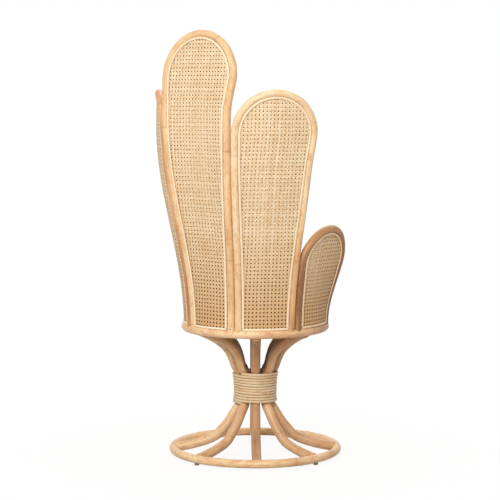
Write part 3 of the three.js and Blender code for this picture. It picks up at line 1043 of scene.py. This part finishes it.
# The middle petals' and arms' poles brown low down, partly as painted shade.
MIDDLE_KIND = PetalKind(
    (49.3, 49.0), 804.0, 0.15, swell=5.0, lean=6.0, pitch=12.05, worn=(620.0, 880.0)
)
ARM_KIND = PetalKind(
    (53.4, 53.0), 354.0, 0.5, splay=35.0, phase=(CLOSED, 0.0), worn=(600.0, 790.0)
)


class Place(Enum):
    """Where a petal stands: its name, kind, side and the kinds between it and the back.

    The last two are the depth of its pole's colour and how far tension draws the middle of its
    cane inward.
    """

    BACK = ("back", BACK_KIND, 0, (), Tone.GOLD, 18.0)
    # Its copper pole is deeper than its twin's, partly as painted shade.
    LEFT_MID = ("left_mid", MIDDLE_KIND, 1, (BACK_KIND,), Tone.COPPER, -5.0)
    RIGHT_MID = ("right_mid", MIDDLE_KIND, -1, (BACK_KIND,), Tone.PALE, 12.0)
    LEFT_ARM = ("left_arm", ARM_KIND, 1, (BACK_KIND, MIDDLE_KIND), Tone.GOLD, 2.0)
    # Its amber pole is deeper than the left arm's, partly as painted shade.
    RIGHT_ARM = ("right_arm", ARM_KIND, -1, (BACK_KIND, MIDDLE_KIND), Tone.AMBER, 5.0)

    def __init__(
        self,
        label: str,
        kind: PetalKind,
        side: int,
        inner: tuple[PetalKind, ...],
        tone: Tone,
        pull: float,
    ) -> None:
        """Keeps the six facts by name."""
        self.label, self.kind, self.side = label, kind, side
        self.inner, self.tone, self.pull = inner, tone, pull


@dataclass(frozen=True)
class PetalSurface:
    """The curved surface that a petal's poles and cane lie on.

    Attributes:
        place: Which petal it is.
        rail: The rail that it stands on.
        pole_radius: Radius of the bent pole.
        gap: Half distance between the poles of neighbouring petals.
        flare: How far the petals lean outward, and over what rise.
        tuck: How far they come in again above that, and over what rise.
        spread_rise: Height over which the sectors change.
        swell_below: Where, below the apex, the arch starts and ends its swell.
        splay_rise: Height over which an arm's front edge turns outward.
        pulled: Whether it is the cane's surface, which its tension pulls off that of the poles.
    """

    place: Place
    rail: Rail
    pole_radius: float = 12.5
    gap: float = 0.15
    flare: Pair = (93.0, 694.0)
    tuck: Pair = (25.0, 300.0)
    spread_rise: float = 830.0
    swell_below: Pair = (274.0, 114.0)
    splay_rise: float = 250.0
    pulled: bool = False

    @property
    def top(self) -> float:
        """Height of the petal's apex."""
        return self.rail.rail_height + self.place.kind.rise

    def radius(self, z: Array) -> Array:
        """Distance of the petals' poles from the axis at heights.

        Args:
            z: Heights.

        Returns:
            A distance for each height.
        """
        (flare, rise), (tuck, tuck_rise) = self.flare, self.tuck
        above = z - self.rail.foot_height
        tucked = np.maximum(above - rise, 0) / tuck_rise
        return self.rail.rail_radius + flare * ease(above / rise) - tuck * tucked**2

    def sector(self, kind: PetalKind, z: Array) -> Array:
        """Sector of a kind of petal at a height, in degrees."""
        share = np.clip((z - self.rail.foot_height) / self.spread_rise, 0, 1)
        return kind.sector[0] + (kind.sector[1] - kind.sector[0]) * share

    def turn(self, z: Array) -> Array:
        """Bearing of the petal's middle at heights.

        Args:
            z: Heights.

        Returns:
            An angle for each height, in radians.
        """
        passed = sum(self.sector(kind, z) for kind in self.place.inner)
        own = self.sector(self.place.kind, z) - self.sector(BACK_KIND, z)
        return np.radians(self.place.side * (passed + own / 2))

    def leg_angle(self, z: Array) -> Array:
        """Half angle between the legs at a height, in radians."""
        half = np.radians(self.sector(self.place.kind, z) / 2)
        return half - np.arcsin((self.pole_radius + self.gap) / self.radius(z))

    def freedom(self, z: Array) -> Array:
        """Share of the arch's swell and lean at a height."""
        start, end = (self.top - below for below in self.swell_below)
        return ease((z - start) / (end - start))

    def half_width(self, z: Array) -> Array:
        """Half distance between the legs' centres at a height."""
        straight = self.radius(z) * np.sin(self.leg_angle(z))
        return straight + self.place.kind.swell * self.freedom(z)

    def climb(self, z: Array) -> Array:
        """Share of the petal's height that lies below a height."""
        foot = self.rail.foot_height
        return np.clip((z - foot) / (self.top - foot), 0, 1)

    def slack(self, across: Array, z: Array) -> Array:
        """How free the cane is to give at a place: not at its edge, most in its middle."""
        inside = 1 - (across / self.half_width(np.minimum(z, self.spring))) ** 2
        return np.sin(np.pi * self.climb(z)) * np.clip(inside, 0, 1)

    def point(self, across: Array, z: Array) -> Array:
        """Point of the surface.

        Args:
            across: Places across the petal, from its middle.
            z: Heights.

        Returns:
            One row of three for each place.
        """
        kind, side = self.place.kind, self.place.side
        radius, angle = self.radius(z), self.turn(z)
        chord = radius * np.cos(self.leg_angle(z))
        bulge = 1 - kind.flattening * self.climb(z)
        front = (1 + side * across / self.half_width(z)) / 2
        splay = kind.splay * ease((z - self.rail.foot_height) / self.splay_rise) * front
        out = chord + bulge * (np.sqrt(np.maximum(radius**2 - across**2, 0)) - chord) + splay
        if self.pulled:
            out = out - self.place.pull * self.slack(across, z)
        x = across + kind.lean * (side or 1) * self.freedom(z)
        sin, cos = np.sin(angle), np.cos(angle)
        return np.stack([x * cos + out * sin, out * cos - x * sin, z], -1)

    def slopes(self, across: Array, z: Array) -> tuple[Array, Array]:
        """Ways of one millimetre across and up the surface."""
        sideways = self.point(across + 0.5, z) - self.point(across - 0.5, z)
        return sideways, self.point(across, z + 0.5) - self.point(across, z - 0.5)

    def normal(self, across: Array, z: Array) -> Array:
        """Outward directions of the surface."""
        sideways, upward = self.slopes(across, z)
        return unit(np.cross(upward, sideways))

    def lifted(self, across: Array, z: Array, lift: Array | float) -> Array:
        """Points lifted outward off the surface."""
        return self.point(across, z) + self.normal(across, z) * np.reshape(lift, (-1, 1))

    @cached_property
    def spring(self) -> float:
        """Height at which the legs go over into the arch, found by going nearer in rounds.

        Returns:
            The height.
        """
        rounds = 30
        height = apex = self.top - self.pole_radius
        for _ in range(rounds):
            height = apex - float(self.half_width(np.array(height)))
        return height

    def arch(self, inset: float) -> float:
        """Radius of the arch, at a distance inside the pole's centre line."""
        return float(self.half_width(np.array(self.spring))) - inset

    def outline(self, bottom: float, inset: float) -> tuple[Array, Array]:
        """Outline up one leg, over the arch and down the other.

        Args:
            bottom: Height of its ends.
            inset: Distance inside the pole's centre line.

        Returns:
            Places across and heights.
        """
        step, fewest, arch_points = 8, 8, 37
        count = max(fewest, round((self.spring - bottom) / step))
        z = np.linspace(bottom, self.spring, count, endpoint=False)
        radius, angle = self.arch(inset), np.linspace(0, np.pi / 2, arch_points)
        across = np.concatenate([self.half_width(z) - inset, radius * np.cos(angle)])
        height = np.concatenate([z, self.spring + radius * np.sin(angle)])
        return np.append(across, -across[-2::-1]), np.append(height, height[-2::-1])

    def margin(self, across: Array, z: Array, bottom: float, inset: float) -> Array:
        """Distance inside an outline, negative outside it.

        Args:
            across: Places across the petal.
            z: Heights.
            bottom: Height of the outline's ends.
            inset: Its distance inside the pole's centre line.

        Returns:
            A distance for each place.
        """
        legs = self.half_width(np.minimum(z, self.spring)) - inset - np.abs(across)
        arch = self.arch(inset) - np.hypot(across, z - self.spring)
        return np.minimum(np.where(z > self.spring, arch, legs), z - bottom)


@dataclass(frozen=True)
class Petal:
    """One petal: a bent pole, cane on both faces, beading round the cane and, but on an arm, nails
    in its feet.

    Attributes:
        surface: The surface that it follows.
        weave: Pattern of the cane.
        beading: Strip over the edge of the cane.
        cane_lift: Distance of each cane's edge from the pole's middle.
        closing: Share of the distance between the canes that is gone in the petal's middle.
        seat: How far the beading stands off the middle of the cane.
        trim_inset: Distance of the beading's middle from the pole's centre line.
        cane_inset: Distance of the cane's edge from it.
        sill_height: Height of the middle of the beading along the foot.
        nail_height: Height of a foot's nail above the rail.
        nail_radius: Radius of a nail's head.
        inner_worn: Heights between which the inner cane browns, as painted shade in the holes.
        arm_wear: Share of browning of the beading where arms rest.
        side_shade: How much darker the poles are painted, as shade, on the side towards the
            sitter's right.
        eye: The eye that the two canes look closed to, on the back or the sitter's right.
    """

    surface: PetalSurface
    weave: CaneWeave = CaneWeave()
    beading: Beading = Beading()
    cane_lift: float = 5.0
    closing: float = 0.65
    seat: float = 0.7
    trim_inset: float = 15.4
    cane_inset: float = 12.5
    sill_height: float = 459.0
    nail_height: float = 4.0
    nail_radius: float = 1.9
    # The inner cane's browning low down is painted shade in the outer cane's holes.
    inner_worn: Pair = (600.0, 900.0)
    arm_wear: float = 0.35
    # Poles are painted darker on the side towards the sitter's right, as shade.
    side_shade: float = 0.25
    eye: tuple[float, float, float] = (-3820.0, 4670.0, 1251.0)

    @property
    def name(self) -> str:
        """The start of its pieces' names."""
        return f"petal_{self.surface.place.label}"

    @cached_property
    def panel(self) -> PetalSurface:
        """The surface midway between the canes."""
        return replace(self.surface, pulled=True)

    def frame_pole(self) -> Shape:
        """The bent pole, its feet let into the rail.

        Returns:
            Its skin.
        """
        surface, place = self.surface, self.surface.place
        let_in = 2.0
        line = surface.point(*surface.outline(surface.rail.rail_height + let_in, 0))
        name, worn = f"{self.name}_frame", place.kind.worn
        pole = Pole(name, surface.pole_radius, tone=place.tone, worn=worn, side_shade=self.side_shade)
        return pole.shape(line)

    def cane(self, face: Face) -> Shape:
        """The cane of one face.

        Args:
            face: Outer or inner face.

        Returns:
            Its woven strands.
        """
        surface, pitch = self.surface, (self.surface.place.kind.pitch, self.weave.pitch[1])
        hem, samples = 3.0, 40
        bottom = self.sill_height - hem
        reach = float(surface.half_width(np.linspace(bottom, surface.spring, samples)).max())
        inner = face is Face.INNER
        worn = self.inner_worn if inner else self.weave.worn
        return replace(self.weave, pitch=pitch, worn=worn).shape(
            f"{self.name}_{face.name}",
            ((-reach, bottom), (reach, surface.top)),
            lambda u, v: surface.margin(u, v, bottom, self.cane_inset),
            lambda u, v, out: self.panel.lifted(u, v, self.lift(face, u, v) + face.value * out),
            (lambda u, v: self.behind(u, v + self.above(reach, u, v))) if inner else None,
        )

    def lift(self, face: Face, u: Array, v: Array) -> Array:
        """How far a cane lies off the panel: mid-petal the inner one hangs nearer the outer."""
        hang = 2 * self.cane_lift * self.closing * self.panel.slack(u, v) ** 2
        return face.value * self.cane_lift + (hang if face is Face.INNER else 0)

    def above(self, reach: float, u: Array, v: Array) -> Array:
        """Height by which the inner cane's rows lie above the outer's.

        Args:
            reach: Half width of the petal.
            u: Places across the outer cane.
            v: Heights on it.

        Returns:
            Half a hole where the canes close each other, else less towards the rear edge.
        """
        place = self.surface.place
        rear = (1 - place.side * u / reach) / 2
        opened = (np.interp(v, self.weave.worn, place.kind.phase) - CLOSED) * rear
        return self.weave.pitch[1] * (CLOSED + opened)

    def behind(self, u: Array, v: Array) -> tuple[Array, Array]:
        """Places of the inner cane that the eye sees behind places of the outer one.

        Args:
            u: Places across the outer cane.
            v: Heights on it.

        Returns:
            Places across and heights.
        """
        glancing, wander = 0.35, 0.7
        panel = self.panel
        mirror = (1 if panel.place.side <= 0 else -1, 1, 1)
        sight = unit(panel.point(u, v) - np.array(self.eye) * mirror)
        normal = panel.normal(u, v)
        gap = self.cane_lift - self.lift(Face.INNER, u, v)
        inward = -(sight * normal).sum(-1, keepdims=True).clip(max=-glancing)
        path = sight * (gap[:, None] / inward)
        sideways, upward = panel.slopes(u, v)
        right = unit(np.cross(upward, normal))
        rise = (path * upward).sum(-1) / (upward**2).sum(-1)
        move = ((path - rise[:, None] * upward) * right).sum(-1) / (sideways * right).sum(-1)
        across, up = np.sin(v / 41 + u / 53), np.sin(u / 33 - v / 67)
        return u + move + wander * across, v + rise + wander * up

    def trim(self, face: Face) -> Shape:
        """Beading up both legs and over the arch."""
        across, z = self.surface.outline(self.sill_height, self.trim_inset)
        return self.strip(f"{self.name}_trim_{face.name}", face, across, z)

    def sill(self, face: Face) -> Shape:
        """Beading along the foot, mitred into the legs'.

        Args:
            face: Outer or inner face.

        Returns:
            Its skin.
        """
        count = 25
        z = np.full(count, self.sill_height)
        half = float(self.surface.half_width(z[0])) - self.trim_inset
        across = np.linspace(-half, half, count)
        return self.strip(f"{self.name}_sill_{face.name}", face, across, z)

    def strip(self, name: str, face: Face, across: Array, z: Array) -> Shape:
        """Beading along a line of the surface.

        Args:
            name: Seeds its colour.
            face: Outer or inner face.
            across: Places across the petal.
            z: Heights.

        Returns:
            The strip with mitred ends.
        """
        line = self.surface.lifted(across, z, face.value * (self.cane_lift + self.seat))
        up = face.value * self.surface.normal(across, z)
        worn = self.arm_wear if self.surface.place.kind is ARM_KIND else 0.0
        return self.beading.shape(name, line, up, mitre=float(face.value), worn=worn)

    def nails(self) -> Shape:
        """Domed heads of the nails in the feet that stand beside a petal further from the back.

        Returns:
            One shape with every head.
        """
        surface, points, faces = self.surface, [], []
        z, sides, sink = np.array(surface.rail.foot_height + self.nail_height), 12, 0.4
        for side in (surface.place.side,) if surface.place.side else (-1, 1):
            across = side * surface.half_width(z)
            out = surface.normal(across, z)
            middle = surface.point(across, z) + out * (surface.pole_radius - sink)
            head = turned(NAIL_HEAD, sides, self.nail_radius, middle, out)
            faces.append(head.faces[0] + sum(map(len, points)))
            points.append(head.points)
        return Shape(np.concatenate(points), faces)

    def build(self, shop: Workshop) -> None:
        """Makes the petal's pieces.

        Args:
            shop: Where the pieces go.
        """
        name = self.name
        for piece, shape, dress, *solids in (
            ("bent_pole", self.frame_pole(), Dress.POLE, "frame"),
            ("outer_weave", self.cane(Face.OUTER), Dress.CANE, "cane"),
            ("inner_weave", self.cane(Face.INNER), Dress.INNER_CANE, "inner_cane"),
            ("beading", self.trim(Face.OUTER), Dress.TRIM, "trim"),
            ("sill_beading", self.sill(Face.OUTER), Dress.TRIM, "sill"),
            ("inner_beading", self.trim(Face.INNER), Dress.TRIM),
            ("inner_sill_beading", self.sill(Face.INNER), Dress.TRIM),
        ):
            shop.place(f"{name}_{piece}", shape, dress, *(f"{name}_{solid}" for solid in solids))
        if self.surface.place.kind is not ARM_KIND:
            shop.place(f"{name}_foot_nails", self.nails(), Dress.NAIL)


@dataclass(frozen=True)
class Pedestal:
    """Eight bent poles from floor ring to seat rail, the strand round their waist and the glides.

    Attributes:
        rail: The two rings.
        count: How many poles there are.
        turn: Bearing of the first pole, in degrees.
        pole_radius: Radius of a pole.
        waist: Distance of the poles' centres from the axis at the waist, and its height.
        binding: Height of the binding's middle, and its length.
        flare: How much further out the poles are at the binding's foot and head.
        lower: Shares of the run from the binding out to the ring and down to it.
        upper: Shares of the run from the binding out to the rail and up to it.
        strand_radius: Radius of the wound strand.
        turns: Turns of the strand.
        glides: Poles that have a glide under their foot.
        tones: Depth of each pole's colour.
        hollow: Heights of the painted shade inside the waist.
    """

    rail: Rail
    count: int = 8
    turn: float = 4.5
    pole_radius: float = 16.0
    waist: Pair = (47.98, 225.0)
    binding: Pair = (232.0, 111.5)
    flare: Pair = (3.5, 7.0)
    lower: tuple[Pair, ...] = (
        (0.076, 0.18), (0.16, 0.378), (0.261, 0.561), (0.396, 0.757), (0.672, 0.903)
    )
    upper: tuple[Pair, ...] = (
        (0.052, 0.064), (0.114, 0.256), (0.197, 0.457), (0.375, 0.667), (0.66, 0.856)
    )
    strand_radius: float = 4.75
    turns: int = 11
    glides: tuple[int, ...] = (1, 3, 4, 5, 6, 7)
    tones: tuple[Tone, ...] = (
        Tone.AMBER, Tone.GOLD, Tone.HONEY, Tone.HONEY,
        Tone.GOLD, Tone.AMBER, Tone.AMBER, Tone.RUSSET,
    )
    hollow: tuple[float, ...] = (150.0, 300.0, 520.0)

    def bearing(self, number: int) -> float:
        """Bearing of a pole, counted from one, in radians."""
        return math.radians(self.turn + 360 * (number - 1) / self.count)

    @cached_property
    def centre_line(self) -> Array:
        """Centre line of a pole.

        Returns:
            Distances from the axis and heights, from foot to head.
        """
        rail, (middle, length) = self.rail, self.binding
        low = np.array([self.waist[0] + self.flare[0], middle - length / 2])
        high = np.array([self.waist[0] + self.flare[1], middle + length / 2])
        foot = np.array([rail.ring_radius, rail.ring_height]) + FOOT_LET_IN
        head = np.array([rail.rail_radius, rail.rail_height]) + HEAD_LET_IN
        below = [low + (foot - low) * np.array(share) for share in self.lower[::-1]]
        over = [high + (head - high) * np.array(share) for share in self.upper]
        knots = [foot, *below, low, np.array(self.waist), high, *over, head]
        return through(np.array(knots), steps=24)

    def strand(self) -> Shape:
        """The strand: one tube wound up the waist, its turns a little uneven, its ends tucked in.

        Returns:
            Its skin.
        """
        name = "waist_binding"
        rng = seed_of(name)
        (middle, length), size, count = self.binding, self.strand_radius, self.turns
        waist = self.centre_line[np.argsort(self.centre_line[:, 1])]
        steps, uneven, clearance, tuck, tuck_turn = 72, 0.28, 0.4, 7.0, 1 / 6
        turns = np.linspace(0, count, count * steps + 1)
        sway = np.interp(turns, np.arange(count + 1), rng.normal(0, uneven, count + 1))
        z = middle - length / 2 + size + (length - 2 * size) / count * turns + sway
        levels = [np.interp(z + s * size, waist[:, 1], waist[:, 0]) for s in (-1, 0, 1)]
        ends = (np.clip(1 - away / tuck_turn, 0, 1) ** 2 for away in (turns, count - turns))
        reach = np.max(levels, 0) + self.pole_radius + size + clearance - tuck * sum(ends)
        path = about(reach, 2 * np.pi * turns, z)
        # Shade is painted on the strand's upper and lower sides, where its turns touch.
        return Pole(name, size, sides=14, step=3.2, joint_spacing=900, turn_shade=0.33).shape(path)

    def build(self, shop: Workshop) -> None:
        """Makes the pedestal's pieces.

        Args:
            shop: Where the pieces go.
        """
        out, up = self.centre_line.T
        for number, tone in enumerate(self.tones, 1):
            name = f"pedestal_pole_{number}"
            pole = Pole(name, self.pole_radius, 24, tone=tone, hollow=self.hollow)
            shape = pole.shape(about(out, self.bearing(number), up))
            shop.place(f"{name}_bent", shape, Dress.BASE_POLE, name)
        shop.place("waist_binding_strand", self.strand(), Dress.STRAND, "waist_binding")
        for number, under in enumerate(self.glides, 1):
            foot = about(self.rail.ring_radius, self.bearing(under), 0.0)
            shape = turned(GLIDE, 32, 1.0, foot, UPWARD)
            shop.place(f"glide_{number}_pad", shape, Dress.GLIDE, f"glide_{number}")


@dataclass(frozen=True)
class Seat:
    """The seat inside the rail: a hoop, a cane disc and a strip of beading over its edge.

    Attributes:
        rail: The rail that holds the hoop.
        hoop: Radius and height of the hoop's centre line, and its tube.
        cane_height: Height of the middle of the cane.
        cane_radius: Radius of the cane.
        weave: Pattern of the cane.
        beading: Strip over its edge.
    """

    rail: Rail
    hoop: tuple[float, float, float] = (213.4, 451.0, 10.0)
    cane_height: float = 461.9
    cane_radius: float = 215.0
    weave: CaneWeave = CaneWeave(worn=(0.0, 700.0))
    beading: Beading = Beading()

    def build(self, shop: Workshop) -> None:
        """Makes the seat's pieces.

        Args:
            shop: Where the pieces go.
        """
        radius, height, tube_radius = self.hoop
        hoop = Pole("seat_hoop", tube_radius).shape(self.rail.circle(radius, height), closed=True)
        shop.place("seat_hoop_bent_pole", hoop, Dress.POLE, "seat_hoop")
        reach = self.cane_radius
        cane = self.weave.shape(
            "seat_cane",
            ((-reach, -reach), (reach, reach)),
            lambda u, v: reach - np.hypot(u, v),
            lambda u, v, out: np.stack([u, v, self.cane_height + out], -1),
        )
        shop.place("seat_weave", cane, Dress.CANE, "seat_cane")
        lift, count = 0.7, 180
        line = self.rail.circle(reach - self.beading.width / 2, self.cane_height + lift, count)
        up = np.repeat(UPWARD[None], len(line), 0)
        trim = self.beading.shape("seat_trim", line, up, closed=True)
        shop.place("seat_beading", trim, Dress.TRIM, "seat_trim")


@dataclass(frozen=True)
class Studio:
    """White paper floor, soft lamps and the camera.

    Attributes:
        axis: The foot of the chair's axis, in metres.
        bearing: Bearing of the camera, in degrees.
        distance: Distance of the camera from the axis, in metres.
        height: Height of the camera, in metres.
        pitch: How far it looks down, in degrees.
        yaw: How far it is turned to its left, in degrees.
        focus: Focal length, and the width of the picture, in pixels.
        lamps: Name of each, its place as the camera sees it, its watts and its width in metres.
    """

    axis: Pair
    bearing: float = -39.3
    distance: float = 6.03
    height: float = 1.251
    pitch: float = 5.22
    yaw: float = 0.168
    focus: Pair = (1779.0, 500.0)
    lamps: tuple[tuple[str, tuple[float, float, float], float, float], ...] = (
        ("key_lamp", (-1.35, 4.9, 3.0), 174.0, 2.0),
        ("front_lamp", (0.4, -2.4, 3.0), 30.0, 1.8),
    )

    def towards(self, right: float, near: float, up: float) -> Vector:
        """Turns a place as the camera sees it into the scene's.

        Args:
            right: Metres to the right of the axis.
            near: Metres towards the camera.
            up: Height in metres.

        Returns:
            The point.
        """
        angle, (left, back) = math.radians(self.bearing), self.axis
        x, y = math.sin(angle), math.cos(angle)
        return Vector((left + near * x - right * y, back + near * y + right * x, up))

    def hang(self, data: bpy.types.ID, place: Vector, aim: Vector) -> bpy.types.Object:
        """Puts the camera or a lamp in its place.

        Args:
            data: The camera or lamp.
            place: Where it goes.
            aim: What it faces.

        Returns:
            The new object.
        """
        made = bpy.data.objects.new(data.name, data)
        made.location = place
        made.rotation_euler = (aim - place).to_track_quat("-Z", "Y").to_euler()
        bpy.context.scene.collection.objects.link(made)
        return made

    def camera(self) -> None:
        """Makes the camera at the photograph's view."""
        data = bpy.data.cameras.new("camera")
        data.sensor_width = 36.0
        data.lens = data.sensor_width * self.focus[0] / self.focus[1]
        left, fall = (math.tan(math.radians(angle)) for angle in (self.yaw, self.pitch))
        drop = fall * self.distance * math.hypot(1, left)
        aim = self.towards(-left * self.distance, 0, self.height - drop)
        place = self.towards(0, self.distance, self.height)
        bpy.context.scene.camera = self.hang(data, place, aim)

    def light(self) -> None:
        """Hangs the square soft lamps, which face the chair."""
        aim = Vector((*self.axis, 0.8))
        for name, place, watts, size in self.lamps:
            data = bpy.data.lights.new(name, "AREA")
            data.energy, data.size = watts, size
            self.hang(data, self.towards(*place), aim)

    def backdrop(self) -> None:
        """Makes the world: plain white to the eye, and a soft warm light on the chair."""
        world = bpy.data.worlds.new("white_backdrop")
        world.use_nodes = True
        tree = world.node_tree
        seen = looked_at(tree)
        way = add(tree, "TexCoord", {}, "Generated")
        up = add(tree, "SeparateXYZ", {0: way}, "Z")
        light = add(tree, "MapRange", {"Value": up, "To Min": 0.42, "To Max": 0.8})
        strength = add(tree, "MapRange", {"Value": seen, "To Min": light, "To Max": 1.0})
        laid = {SHARE: seen, BELOW: linear("#fff6ea"), ABOVE: linear("#ffffff")}
        colour = add(tree, "Mix", laid, MIXED, data_type="RGBA")
        connect(tree, tree.nodes["Background"], {"Color": colour, "Strength": strength})
        bpy.context.scene.world = world

    def build(self) -> None:
        """Makes floor, backdrop, lamps and camera."""
        far = 40.0
        mesh = bpy.data.meshes.new("paper_floor")
        corners = [(-far, -far, 0), (far, -far, 0), (far, far, 0), (-far, far, 0)]
        mesh.from_pydata(corners, [], [(0, 1, 2, 3)])
        mesh.materials.append(StudioPaper("white_studio_paper", 0.9).material())
        floor = bpy.data.objects.new("paper_floor", mesh)
        bpy.context.scene.collection.objects.link(floor)
        self.backdrop()
        self.light()
        bpy.context.scene.view_settings.view_transform = "Standard"
        self.camera()


def main() -> None:
    """Builds the chair and the studio."""
    logging.basicConfig(level=logging.INFO, format="%(name)s: %(message)s")
    low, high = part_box("floor_ring")
    axis = ((low.x + high.x) / 2, (low.y + high.y) / 2)
    shop = Workshop(axis, {dress: dress.finish.material() for dress in Dress})
    rail = Rail()
    rail.build(shop)
    Pedestal(rail).build(shop)
    Seat(rail).build(shop)
    for place in Place:
        Petal(PetalSurface(place, rail)).build(shop)
    for name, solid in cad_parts.items():
        if name.startswith("foot_dowel"):
            solid.data.materials.clear()
            solid.data.materials.append(shop.finishes[Dress.DOWEL])
            LOG.info("%s: solid kept", name)
    Studio(axis).build()


if __name__ == "__main__":
    main()
